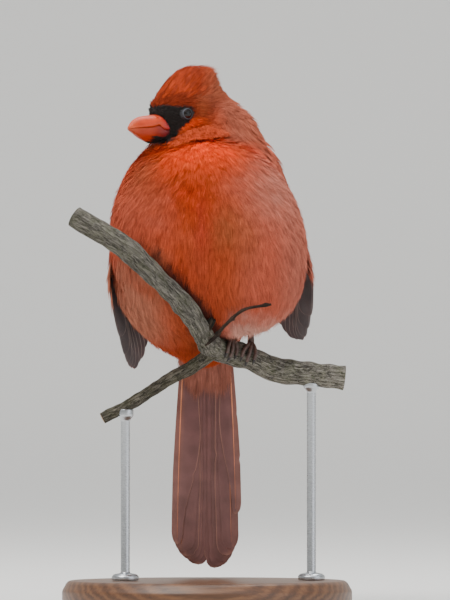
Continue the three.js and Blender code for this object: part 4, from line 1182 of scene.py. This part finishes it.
long = np.where(draw.random(count) < 0.6, draw.uniform(0.85, 1.03, count), draw.uniform(0.45, 0.85, count))
end = start + (flatEnd + (ridgeEnd - flatEnd) * raised[:, None] - start) * long[:, None]
heading = unit(end - start)
facing = normals @ headAxes.T
facing = unit(facing - heading * (facing * heading).sum(-1, keepdims=True))
bowed = (start + end) / 2 + facing * (crest["bow"] * np.linalg.norm(end - start, axis=-1))[:, None]
crestFans = fanKinds(draw, crest["barbs"], crest["barbWidth"], crest["kinds"], stations=(0.0, 0.35, 0.7))
tone = 1 + 0.07 * draw.normal(size=count)
tint = washed(np.tile(tints["crown"], (count, 1)), "cheek", 0.25 * draw.random(count))
tint = washed(tint, "hindCrown", 0.8 * smoothstep(-2, -14, ahead)) * tone[:, None]
layFans("coat_crest", (worldStart, fromHead(bowed), fromHead(end)), facing @ headAxes,
        draw.uniform(0.8, 1.2, count) * crest["half"], fitUnwrap(unwrap(worldStart, headPlace)), tint,
        crestFans, draw, cup=0.25, rootShade=feathers["headRootShade"])

# bill

bill = {
    # ahead, ridge, mouth line, under edge and half width, in the head's own frame
    "stations": ((2.5, -1.6, -8, -12.2, 5.9), (6, -1.2, -7.9, -12.8, 6), (8.6, -1.1, -7.4, -13.3, 5.8),
                 (11, -1.2, -5.8, -13.4, 5.4), (14.2, -1.6, -6.5, -13.1, 4.8), (18.4, -2.2, -6.9, -11.6, 3.6),
                 (22.2, -4, -7.2, -9.4, 1.9), (24.6, -6.6, -7.6, -8.1, 0.5)),
    "rows": 64, "arc": 40, "gap": 0.16, "round": 0.78, "square": (0.88, 0.8), "lowerWidth": 0.93,
    "horn": "#c03c14", "pale": "#d2683e", "deep": "#a01c38",
    "nostril": {"at": (10.6, 3.5, -2.9), "half": (1.0125, 1.2, 0.75), "deep": 0.9},
}

# bill horn, a layered keratin sheath over bone: waxy satin, a little light going in, faint lines of growth
billHorn = newMaterial("bill horn, waxy keratin")
hornCloud = noiseOf(billHorn, 420.0, 5.0, objectPlace(billHorn), 0.6)
hornColour = shaded(billHorn, paintedTint(billHorn), rangeOf(billHorn, hornCloud, 0.88, 1.1))
finishMaterial(billHorn, {"IOR": 1.54, "Specular IOR Level": 0.3, "Subsurface Weight": 0.12,
                          "Subsurface Radius": (0.002, 0.0008, 0.0005), "Subsurface Scale": 0.4},
               {"Base Color": hornColour, "Roughness": rangeOf(billHorn, hornCloud, 0.32, 0.5),
                "Normal": bumpOf(billHorn, hornCloud, 0.25, 0.00015)})

stations = alongLine(bill["stations"], np.linspace(0, 1, bill["rows"]))
forward, ridge, mouth, under, wide = (column[:, None] for column in stations.T)
billTurn = np.linspace(0, math.pi, bill["arc"] + 1)
out, rise = np.cos(billTurn), np.sin(billTurn) ** bill["round"]
for name, upper in (("bill_upper", True), ("bill_lower", False)):
    flatLevel = mouth + bill["gap"] / 2 if upper else mouth - bill["gap"] / 2
    peak, width = (ridge, wide) if upper else (under, wide * bill["lowerWidth"])
    sideways = width * np.sign(out) * np.abs(out) ** bill["square"][0 if upper else 1]
    local = np.stack([forward + 0 * out, sideways, flatLevel + (peak - flatLevel) * rise], -1).reshape(-1, 3)
    billFaces = bandFaces(bill["rows"], bill["arc"] + 1, inward=True)
    if not upper:
        billFaces = [faces[:, ::-1] for faces in billFaces]
    hole = np.zeros(len(local))
    if upper:
        nostril = {name: np.array(size) for name, size in bill["nostril"].items()}
        for side in (-1, 1):
            away = (local - nostril["at"] * [1, side, 1]) / nostril["half"]
            hole = np.maximum(hole, np.exp(-(away ** 2).sum(-1) ** 1.5))
        inward = np.sign(local[:, 1:2]) * [0, 1, 0] + [0, 0, 0.4]
        local = local - inward * (hole * nostril["deep"])[:, None]
    reach = local[:, 0]
    growth = 0.5 + 0.5 * np.sin(reach * 2.1 + 0.8 * np.sin(local[:, 2] * 0.8))
    tint = np.tile(tintOf(bill["horn"]), (len(local), 1)) * (1 + 0.05 * growth[:, None])
    toMouth = np.abs(local[:, 2] - np.repeat(stations[:, 2], bill["arc"] + 1))
    paleEdge = 0.25 * smoothstep(1.4, 0.2, toMouth) * smoothstep(4, 9, reach)
    tint = blendTint(tint, tintOf(bill["pale"]), paleEdge)
    tint = blendTint(tint, tintOf(bill["deep"]), 0.75 * smoothstep(12 if upper else 15, 5, reach))
    tint = blendTint(tint, tintOf(bill["pale"]), 0.35 * smoothstep(19, 24, reach))
    # painted shade: the nostril's dent is darkened almost to black
    tint = blendTint(tint, tintOf(bill["deep"]) * 0.25, smoothstep(0.35, 0.75, hole))
    # painted shade: the lower mandible is darkened to 0.7, and further toward its root
    tint = tint * (1 if upper else 0.7 - 0.22 * smoothstep(15, 9, local[:, :1]))
    piece = makePiece(name + "_horn", fromHead(local), billFaces, billHorn,
                      tints=np.clip(tint, 0, 1))
    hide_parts(name)

# stiff black feathers of the chin that lie forward under the bill
bristle = {"count": 150, "from": (5.5, 10.2), "spread": 0.86, "length": (4.0, 6.5), "half": 0.55}
draw = np.random.default_rng(80)
count = bristle["count"]
reach = draw.uniform(*bristle["from"], count)
side = draw.uniform(-bristle["spread"], bristle["spread"], count)
line = []
for share in (0, 0.5, 1):
    ahead = reach + share * draw.uniform(*bristle["length"], count)
    mouth, under, wide = (np.interp(ahead, stations[:, 0], stations[:, column]) for column in (2, 3, 4))
    hang = mouth + (under - mouth) * np.sqrt(1 - (np.abs(side) ** 1.25) ** 2) ** bill["round"]
    below = 0.1 + 0.5 * share * (1 - share) + 0.12 * share
    line.append(fromHead(np.stack([ahead, side * wide * bill["lowerWidth"], hang - below], -1)))
facing = unit(np.stack([np.zeros(count), side, -np.sqrt(1 - side ** 2)], -1))
tint = np.tile(tints["mask"], (count, 1)) * draw.uniform(0.7, 1.2, count)[:, None]
layFans("coat_chin", line, facing @ headAxes, draw.uniform(0.8, 1.2, count) * bristle["half"],
        fitUnwrap(np.stack([reach, side], -1)), tint, faceFans, draw, rootShade=0)
print("bill made")

# eyes and lids

eye = {
    "radius": 3.0, "side": 9.1, "up": -0.8, "rows": 40, "ring": 64, "iris": "#140b08", "pupil": "#030303",
    "lidWide": 2.35, "lidTall": 2.15, "lidRing": 72, "lidReach": 2.75, "lid": "#2b2d31", "rim": "#4b5059",
    # from under the lid's rim over two folds down to the feathers: share of its size, and height
    "lidProfile": ((0.92, -0.35), (0.97, 0.10), (1.04, 0.26), (1.13, 0.22), (1.20, 0.08), (1.27, 0.10),
                   (1.35, 0.0), (1.45, -0.30), (1.52, -0.9)),
}
eyeDrop = np.array([0, 0, eye["up"]])

# eyeball under its tear film: near black, wet, with a dark brown iris that shows only in strong light
eyeGlass = newMaterial("eyeball, wet cornea")
finishMaterial(eyeGlass, {"Roughness": 0.04, "IOR": 1.376, "Coat Weight": 0.25, "Coat Roughness": 0.02,
                          "Coat IOR": 1.376}, {"Base Color": paintedTint(eyeGlass)})

# bare lid skin: grey, pebbled and matte, moist where it meets the eye
lidSkin = newMaterial("bare lid skin, pebbled")
lidPebbles = addNode(lidSkin, "ShaderNodeTexVoronoi", {"Scale": 2400.0}, {"Vector": objectPlace(lidSkin)})
finishMaterial(lidSkin, {"Roughness": 0.48, "IOR": 1.4},
               {"Base Color": paintedTint(lidSkin),
                "Normal": bumpOf(lidSkin, lidPebbles.outputs["Distance"], 0.5, 0.0001)})

irisTint, pupilTint, lidTint, rimTint = (tintOf(eye[name]) for name in ("iris", "pupil", "lid", "rim"))
for name, side in (("left", 1), ("right", -1)):
    theta = np.linspace(0, math.pi, eye["rows"])[:, None]
    phi = np.linspace(0, 2 * math.pi, eye["ring"], endpoint=False)[None]
    local = np.stack([eye["radius"] * np.sin(theta) * np.cos(phi),
                      side * (eye["side"] + eye["radius"] * np.cos(theta) * np.ones_like(phi)),
                      eye["radius"] * np.sin(theta) * np.sin(phi)], -1).reshape(-1, 3)
    faces = bandFaces(eye["rows"], eye["ring"], inward=True)[0]
    spread = np.hypot(local[:, 0], local[:, 2]) + 5 * (side * local[:, 1] < eye["side"])
    tint = blendTint(np.tile(irisTint, (len(local), 1)), pupilTint, smoothstep(1.5, 1.3, spread))
    tint = blendTint(tint, pupilTint, smoothstep(2.0, 2.5, spread))
    piece = makePiece("eyeball_" + name, fromHead(local + eyeDrop), faces[:, ::-side], eyeGlass,
                      tints=tint)
    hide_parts("eye_" + name)
    around = np.linspace(0, 2 * math.pi, eye["lidRing"], endpoint=False)
    rings = []
    for index, (grow, out) in enumerate(eye["lidProfile"]):
        scallop = 1 + 0.012 * np.sin(around * 17 + index) * (index > 1)
        forward = eye["lidWide"] * grow * np.cos(around) * scallop
        up = eye["lidTall"] * grow * np.sin(around) * scallop + 0.1 * np.cos(around)
        rim = np.minimum(np.hypot(forward, up), eye["lidReach"])
        aside = eye["side"] + np.sqrt(eye["radius"] ** 2 - rim ** 2) + out
        rings.append(np.stack([forward, side * aside, up], -1))
    faces = bandFaces(len(rings), eye["lidRing"])[0]
    grown = np.repeat([grow for grow, _ in eye["lidProfile"]], eye["lidRing"])
    tint = blendTint(np.tile(lidTint, (len(grown), 1)), rimTint, smoothstep(1.16, 1.03, grown))
    tint = blendTint(tint, pupilTint, smoothstep(0.99, 0.94, grown))
    makePiece("eyelid_" + name, fromHead(np.concatenate(rings) + eyeDrop), faces[:, ::-side], lidSkin,
              tints=tint)
print("eyes made")

# branch

# bark of a small hardwood limb, weathered grey-green: dry and rough, cracked along the grain, with moss and
# pale lichen
barkSkin = newMaterial("hardwood bark, weathered")
barkMap = mapPlace(barkSkin, "grain")
barkStretch = stretched(barkSkin, barkMap, (1.0, 0.17, 1.0))
barkWarp = noiseOf(barkSkin, 40.0, 6.0, barkStretch, 0.7, "Color")
barkBent = addNode(barkSkin, "ShaderNodeVectorMath", {1: (0.06, 0.06, 0.06)}, {0: barkWarp, 2: barkStretch},
                   operation="MULTIPLY_ADD").outputs["Vector"]
barkPlates = addNode(barkSkin, "ShaderNodeTexVoronoi", {"Scale": 34.0}, {"Vector": barkBent},
                     feature="DISTANCE_TO_EDGE").outputs["Distance"]
barkCrack = rangeOf(barkSkin, barkPlates, 0.0, 1.0, 0.0, 0.12)
barkHeight = mathOf(barkSkin, "MULTIPLY_ADD", barkCrack, 0.17, noiseOf(barkSkin, 75.0, 10.0, barkBent, 0.8))
# the colour follows the bark's height, darkest in the cracks and palest on the ridges: partly the bark's own
# tones, partly painted shade in the cracks
barkColour = rampOf(barkSkin, barkHeight,
                    ((0.44, "#1c1a17"), (0.55, "#423f39"), (0.66, "#6b675f"), (0.77, "#989388")))
barkMoss = noiseOf(barkSkin, 7.0, 5.0, barkMap, 0.7)
barkMoss = rampOf(barkSkin, barkMoss, ((0.42, "#8b8b8b"), (0.54, "#000000")))
barkColour = mixed(barkSkin, barkMoss, barkColour, "#565a3a")
barkLichen = noiseOf(barkSkin, 60.0, 8.0, barkMap, 0.8)
barkLichen = rampOf(barkSkin, barkLichen, ((0.56, "#000000"), (0.62, "#c0c0c0")))
barkColour = mixed(barkSkin, barkLichen, barkColour, "#a9a596")
barkColour = mixed(barkSkin, 1.0, barkColour, paintedTint(barkSkin), "MULTIPLY")
finishMaterial(barkSkin, {"Roughness": 0.9, "IOR": 1.45, "Specular IOR Level": 0.3},
               {"Base Color": barkColour, "Normal": bumpOf(barkSkin, barkHeight, 1.0, 0.0006)})


def tube(points, radii, steps, sides, shape=None):
    # tube along a smooth line; `shape(run, turn)` adds to its radius; also gives each corner's run and turn
    shares = np.linspace(0, 1, steps + 1)
    line = alongLine(points, shares)
    cut = runAlong(points)
    radius = np.interp(shares, cut / cut[-1], radii)
    tangent = unit(np.gradient(line, axis=0))
    normal = unit(np.cross(tangent[0], [0.3, 0.2, 1.0]))
    normals = []
    for forward in tangent:
        normal = unit(normal - forward * (normal @ forward))
        normals.append(normal)
    normals = np.array(normals)
    turn = np.linspace(0, 2 * math.pi, sides, endpoint=False)
    run, turn = np.repeat(runAlong(line), sides), np.tile(turn, steps + 1)
    grown = np.repeat(radius, sides) + (shape(run, turn) if shape else 0)
    beside = np.repeat(np.cross(tangent, normals), sides, 0) * np.sin(turn)[:, None]
    out = np.repeat(normals, sides, 0) * np.cos(turn)[:, None] + beside
    corners = np.repeat(line, sides, 0) + out * grown[:, None]
    return corners, bandFaces(steps + 1, sides), run, turn


def barkShape(seed, size, swellings=()):
    # long ridges with cracks between them, lumps, and a few swollen rings where shoots grew
    def shape(run, turn):
        at = np.stack([np.cos(turn) * 4, np.sin(turn) * 4, run * 0.25], -1)
        wander = turn * perch["ridges"] / 2 + 1.1 * ripple(at, 9, seed)
        crack = np.maximum(0, 1 - np.abs(np.sin(wander)) * 2.6)
        crack = crack * smoothstep(-0.4, 0.5, ripple(at, 6, seed + 3))
        form = perch["roughness"] * ripple(at * [1, 1, 3], 4.5, seed + 1) - perch["ridgeDepth"] * crack
        form = form + 0.35 * ripple(at * [0.4, 0.4, 1.6], 12, seed + 2)
        for place, grown, wide in swellings:
            form = form + grown * np.exp(-((run - place) / wide) ** 2) * (0.65 + 0.35 * np.sin(turn + place))
        return size * form
    return shape


bark = {
    # rows, sides, how deep the bark is, tint and seed
    "limb": (430, 80, 1.0, "#ffffff", 458), "fork": (180, 48, 0.6, "#e8e4dc", 208),
    "twig": (160, 14, 0.16, "#94776c", 188), "stub": (24, 20, 0.5, "#7d6e64", 5), "mapScale": 0.02,
    "discRows": 8, "discRing": 48,
}
for name in ("limb", "fork", "twig", "stub"):
    points, radii = zip(*perch[name])
    steps, sides, size, shade, seed = bark[name]
    shape = barkShape(seed, size, perch["swellings"].get(name, ()))
    corners, faces, run, turn = tube(points, radii, steps, sides, shape)
    girth = 2 if name == "stub" else np.mean(radii)
    grain = np.stack([turn * girth * bark["mapScale"], run * bark["mapScale"]], -1)
    tint = np.tile(tintOf(shade), (len(corners), 1))
    if name != "stub":
        # painted light: the limb's tint rises toward +x, to brighten its lower, level part as lit from above
        paintedLightShare = smoothstep(-12, 16, corners[:, 0]) * (name == "limb")
        tint = tint * (0.85 + 0.15 * ripple(corners, 14, 4) + 0.45 * paintedLightShare)[:, None]
    piece = makePiece("bark_" + name, corners, faces, barkSkin, tints=tint, maps={"grain": grain})
    if name != "stub":
        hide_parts("perch_" + name)

# sawn ends of the branch: pale wood with fine rings round the pith, rough from the saw
sawnWood = newMaterial("hardwood end grain, sawn")
sawnRings = addNode(sawnWood, "ShaderNodeTexWave", {"Scale": 36.0, "Distortion": 2.5, "Detail": 3.0},
                    {"Vector": mapPlace(sawnWood, "rings")}, wave_type="RINGS",
                    rings_direction="Z").outputs["Fac"]
finishMaterial(sawnWood, {"Roughness": 0.8, "IOR": 1.5},
               {"Base Color": rampOf(sawnWood, sawnRings, ((0.2, "#8a6a48"), (0.8, "#b8976c"))),
                "Normal": bumpOf(sawnWood, sawnRings, 0.3, 0.0002)})
discParts, discPlaces = [], []
for name, last in (("limb", False), ("limb", True), ("fork", True)):
    places, radii = zip(*(perch[name][::-1] if last else perch[name]))
    line = alongLine(places, [0.0, 0.01])
    out = unit(line[0] - line[1])
    beside = unit(np.cross(out, [0, 0, 1.0]))
    above = np.cross(out, beside)
    turn = np.linspace(0, 2 * math.pi, bark["discRing"], endpoint=False)
    reach = np.linspace(0.02, 0.93, bark["discRows"]) * radii[0]
    flat = np.stack([reach[:, None] * np.cos(turn), reach[:, None] * np.sin(turn)], -1).reshape(-1, 2)
    dome = 0.25 - 0.15 * (np.hypot(*flat.T) / radii[0]) ** 2
    corners = line[0] + flat[:, :1] * beside + flat[:, 1:] * above + out * dome[:, None]
    discParts.append((corners, bandFaces(bark["discRows"], bark["discRing"], inward=True)[0]))
    discPlaces.append(flat * bark["mapScale"])
corners, faces = joinParts(discParts)
makePiece("bark_sawn_ends", corners, faces, sawnWood, maps={"rings": np.concatenate(discPlaces)})
print("branch made")

# feet

foot = {
    "left": 17, "right": 6.5, "toeRadius": 1.05, "joints": 8, "clear": 0.3,
    "toes": ((-2.8, 108), (0, 122), (2.8, 104), (0.4, -112)),  # place along the limb, and how far round it
    "toePads": {"step": 1.55, "rise": 0.1, "sunk": 0.05, "groove": 0.35},
    "shankRings": {"step": 1.2, "rise": 0.07, "sunk": 0, "groove": 0.3},
    "shank": (1.5, 1.25, 1.9), "clawRadii": (0.62, 0.6, 0.36, 0.08),
    "shankBack": 3, "shankRise": 12, "scute": "#554039", "dark": "#33241f", "claw": "#1d1716",
}

# leg scutes: dry overlapping horn plates on the shank and toes, dull brown with a faint gloss
scuteHorn = newMaterial("leg scutes, dry horn")
scuteBump = bumpOf(scuteHorn, noiseOf(scuteHorn, 1500.0, 4.0), 0.3, 0.0001)
finishMaterial(scuteHorn, {"Roughness": 0.5, "IOR": 1.54},
               {"Base Color": paintedTint(scuteHorn), "Normal": scuteBump})


def scuteTube(points, radii, steps, sides, plates):
    def swell(run, turn):
        return plates["rise"] * np.abs(np.sin(run * plates["step"])) - plates["sunk"]
    corners, faces, run, _ = tube(points, radii, steps, sides, swell)
    groove = smoothstep(plates["groove"], 0.0, np.abs(np.sin(run * plates["step"])))
    tint = blendTint(np.tile(tintOf(foot["scute"]), (len(corners), 1)), tintOf(foot["dark"]), groove)
    return corners, faces[0], tint


limbPlaces, limbRadii = zip(*perch["limb"])
limbRun = runAlong(limbPlaces)
limbShares = np.linspace(0, 1, 600)
limbLine = alongLine(limbPlaces, limbShares)
for name in ("left", "right"):
    spot = int(np.argmax(limbLine[:, 0] >= foot[name]))
    centre, along = limbLine[spot], unit(limbLine[spot + 1] - limbLine[spot - 1])
    limbRadius = np.interp(limbShares[spot], limbRun / limbRun[-1], limbRadii)
    ahead = np.array([0, -1.0, 0])
    ahead = unit(ahead - along * (ahead @ along))
    up = np.cross(ahead, along)
    up = up * np.sign(up[2])

    def onLimb(turn, shift, clear):
        reach = limbRadius + foot["clear"] + clear
        return centre + up * math.cos(turn) * reach + ahead * math.sin(turn) * reach + along * shift

    scutes, claws = [], []
    for spread, full in foot["toes"]:
        points, radii = [], []
        for step in range(foot["joints"] + 1):
            part = step / foot["joints"]
            turn = math.radians(full * part)
            points.append(onLimb(turn, spread * min(1, part * 1.6), foot["toeRadius"] * 1.15))
            radii.append(foot["toeRadius"] * (0.95 - 0.25 * part))
        scutes.append(scuteTube(points[:-1], radii[:-1], 60, 14, foot["toePads"]))
        tip = points[-1] + (points[-1] - points[-2]) * 0.5
        corners, faces, run, turn = tube(points[-3:] + [tip], foot["clawRadii"], 16, 10)
        claws.append((corners, faces[0]))
    ankle = onLimb(0, 0, foot["toeRadius"] * 1.2)
    knee = ankle + np.array([0, foot["shankBack"], foot["shankRise"]])
    scutes.append(scuteTube([ankle, (ankle + knee) / 2, knee], foot["shank"], 50, 16, foot["shankRings"]))
    corners, faces = joinParts([laid[:2] for laid in scutes])
    leg = makePiece("foot_scutes_" + name, corners, faces, scuteHorn,
                    tints=np.concatenate([laid[2] for laid in scutes]))
    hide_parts("leg_" + name)
    corners, faces = joinParts(claws)
    makePiece("foot_claws_" + name, corners, faces, scuteHorn,
              tints=np.tile(tintOf(foot["claw"]), (len(corners), 1)))
print("feet made")

# display stand

stand = {
    "radius": 64, "height": 10, "edgeRound": 0.8, "sides": 128,
    "rodRadius": 2, "footRadius": 6, "footHeight": 3, "cupRadius": 3.6, "cupHeight": 5, "rodRound": 0.5,
    "rodSides": 48, "roundSteps": 4, "sharp": 32,
    "rods": {"left": (46, -1, 98.2, "limb"), "right": (-36, -8.6, 85.6, "fork")},
    "wood": ((0.28, "#3a2417"), (0.62, "#5a3a24"), (0.9, "#724d31")), "steel": "#b9bcc0",
}

# turned walnut, oiled: dark brown, fine straight grain with short pores, low satin. The lines of real grain
# stand 1.5 mm apart; they are drawn 3 mm apart so that they show.
walnut = newMaterial("walnut, turned and oiled")
woodGrain = stretched(walnut, objectPlace(walnut), (0.09, 1.0, 1.0), (0.9, 0, 0))
woodRings = addNode(walnut, "ShaderNodeTexWave",
                    {"Scale": 95.0, "Distortion": 5.0, "Detail": 3.0, "Detail Scale": 1.4},
                    {"Vector": woodGrain}, bands_direction="Y").outputs["Fac"]
woodFibre = noiseOf(walnut, 900.0, 6.0, woodGrain, 0.7)
woodColour = rampOf(walnut, mathOf(walnut, "MULTIPLY_ADD", woodRings, 0.34, woodFibre), stand["wood"])
finishMaterial(walnut, {"Roughness": 0.42, "IOR": 1.5, "Coat Weight": 0.15, "Coat Roughness": 0.3},
               {"Base Color": woodColour, "Normal": bumpOf(walnut, woodFibre, 0.2, 0.0002)})

# stainless rod, centreless ground: bright, with fine lines round it
groundSteel = newMaterial("stainless steel rod, ground")
steelPlace = stretched(groundSteel, objectPlace(groundSteel), (1.0, 1.0, 30.0))
steelLines = noiseOf(groundSteel, 120.0, 3.0, steelPlace)
finishMaterial(groundSteel, {"Base Color": linear(stand["steel"]), "Metallic": 1.0},
               {"Roughness": rangeOf(groundSteel, steelLines, 0.24, 0.32)})


def turned(name, profile, spot, sides, material, under=None):
    # a closed lathe form from (radius, height) pairs, cut to the bark it stands under
    turn = np.linspace(0, 2 * math.pi, sides, endpoint=False)
    corners = np.concatenate([np.stack([spot[0] + radius * np.cos(turn), spot[1] + radius * np.sin(turn),
                                        np.full(sides, float(level))], -1) for radius, level in profile])
    if under:
        ceiling = corners * [1, 1, 0] + [0, 0, 60.0]
        for _ in range(24):
            ceiling[:, 2] += barkClearance(ceiling, under)[0]
        corners[:, 2] = np.minimum(corners[:, 2], ceiling[:, 2] + 0.2)
    piece = makePiece(name, corners, bandFaces(len(profile), sides), material)
    piece.data.set_sharp_from_angle(angle=math.radians(stand["sharp"]))
    return piece


def roundedProfile(points, radius):
    # the same profile with each inner corner rounded
    rounded = [points[0]]
    for trio in zip(points[:-2], points[1:-1], points[2:]):
        before, corner, after = np.array(trio, float)
        cut = min(radius, np.linalg.norm(before - corner) * 0.45, np.linalg.norm(after - corner) * 0.45)
        start, end = corner + unit(before - corner) * cut, corner + unit(after - corner) * cut
        rounded += [bentLine(t, start, corner, end) for t in np.linspace(0, 1, stand["roundSteps"])]
    return rounded + [points[-1]]


wide, high = stand["radius"], stand["height"]
baseProfile = roundedProfile((
    (0.5, 0), (wide - 1, 0), (wide, 1), (wide, high - 4.5), (wide - 1.2, high - 2.5),
    (wide - 1.8, high - 1.2), (wide - 3.2, high), (0.5, high)), stand["edgeRound"])
basePiece = turned("base_walnut", baseProfile, (0, 0), stand["sides"], walnut)
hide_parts("stand_base")
footWide, rodWide, cupWide = stand["footRadius"], stand["rodRadius"], stand["cupRadius"]
footTop = high + stand["footHeight"]
for name, (x, y, top, part) in stand["rods"].items():
    neck = top - stand["cupHeight"]
    rodProfile = roundedProfile((
        (0.2, high + 0.3), (footWide, high + 0.3), (footWide, footTop - 1), (footWide - 1, footTop),
        (rodWide, footTop + 0.6), (rodWide, neck), (cupWide, neck + 2), (cupWide, top), (0.2, top)),
        stand["rodRound"])
    rodPiece = turned("rod_steel_" + name, rodProfile, (x, y), stand["rodSides"], groundSteel,
                      part)
    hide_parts("stand_rod_" + name)
print("stand made")

# stage, light and camera

view = {"aim": (7.9, -12, 133.7), "distance": 5000, "tall": 264}
camera = bpy.data.objects.new("camera", bpy.data.cameras.new("camera"))
bpy.context.collection.objects.link(camera)
camera.location = [view["aim"][0] * mm, (view["aim"][1] - view["distance"]) * mm, view["aim"][2] * mm]
camera.rotation_euler = (math.radians(90), 0, 0)
camera.data.lens = camera.data.sensor_width * view["distance"] / view["tall"]
camera.data.clip_end = 20
bpy.context.scene.camera = camera

# plain pale floor, and a pale surround of the same tone
floorPaint = newMaterial("matt floor paint, rolled")
floorBump = bumpOf(floorPaint, noiseOf(floorPaint, 60.0, 6.0), 0.05, 0.0005)
finishMaterial(floorPaint, {"Base Color": linear("#deddda"), "Roughness": 0.85}, {"Normal": floorBump})
sweep = {"flat": 7.0, "curve": 4.0, "top": 9.0, "sides": 96}  # metres
bend = np.linspace(0, math.pi / 2, 20)
profile = [(0.001, 0), (1, 0), (3, 0)] + [(sweep["flat"] + sweep["curve"] * math.sin(angle),
                                       sweep["curve"] * (1 - math.cos(angle))) for angle in bend]
profile.append((sweep["flat"] + sweep["curve"], sweep["top"]))
turn = np.linspace(0, 2 * math.pi, sweep["sides"], endpoint=False)
rings = [(radius * math.cos(angle), radius * math.sin(angle), level)
         for radius, level in profile for angle in turn]
around = [[row * sweep["sides"] + column for column in range(sweep["sides"])] for row in range(len(profile))]
quads = [(inner[column], inner[column - 1], outer[column - 1], outer[column])
         for inner, outer in zip(around[:-1], around[1:]) for column in range(sweep["sides"])]
floorMesh = bpy.data.meshes.new("floor")
floorMesh.from_pydata(rings, [], quads + [tuple(around[0])])
floorMesh.polygons.foreach_set("use_smooth", [True] * len(floorMesh.polygons))
floor = bpy.data.objects.new("floor", floorMesh)
bpy.context.collection.objects.link(floor)
floorMesh.materials.append(floorPaint)

lights = {
    "key": {"at": (-0.7, -0.8, 1.35), "size": 0.9, "watts": 17, "colour": "#fffaf4"},
    "fill": {"at": (1.1, -0.8, 0.5), "size": 1.1, "watts": 5, "colour": "#f3f6ff"},
    "top": {"at": (0.1, 0.35, 1.3), "size": 0.9, "watts": 13, "colour": "#ffffff"},
}
for name, light in lights.items():
    lamp = bpy.data.lights.new(name, "AREA")
    lamp.size = light["size"]
    lamp.energy = light["watts"]
    lamp.color = linear(light["colour"])[:3]
    holder = bpy.data.objects.new(name, lamp)
    bpy.context.collection.objects.link(holder)
    holder.location = light["at"]
    holder.rotation_euler = (Vector((0, 0, 0.14)) - Vector(light["at"])).to_track_quat("-Z", "Y").to_euler()
sky = bpy.data.lights.new("sky", "SUN")  # even light over the whole floor, so that it has no edge
sky.energy = 1.6
sky.angle = math.radians(70)
skyHolder = bpy.data.objects.new("sky", sky)
bpy.context.collection.objects.link(skyHolder)
skyHolder.rotation_euler = (math.radians(24), math.radians(-14), 0)
world = bpy.data.worlds.new("studio")
bpy.context.scene.world = world
world.use_nodes = True
world.node_tree.nodes["Background"].inputs["Color"].default_value = linear("#eceef0")
world.node_tree.nodes["Background"].inputs["Strength"].default_value = 0.85
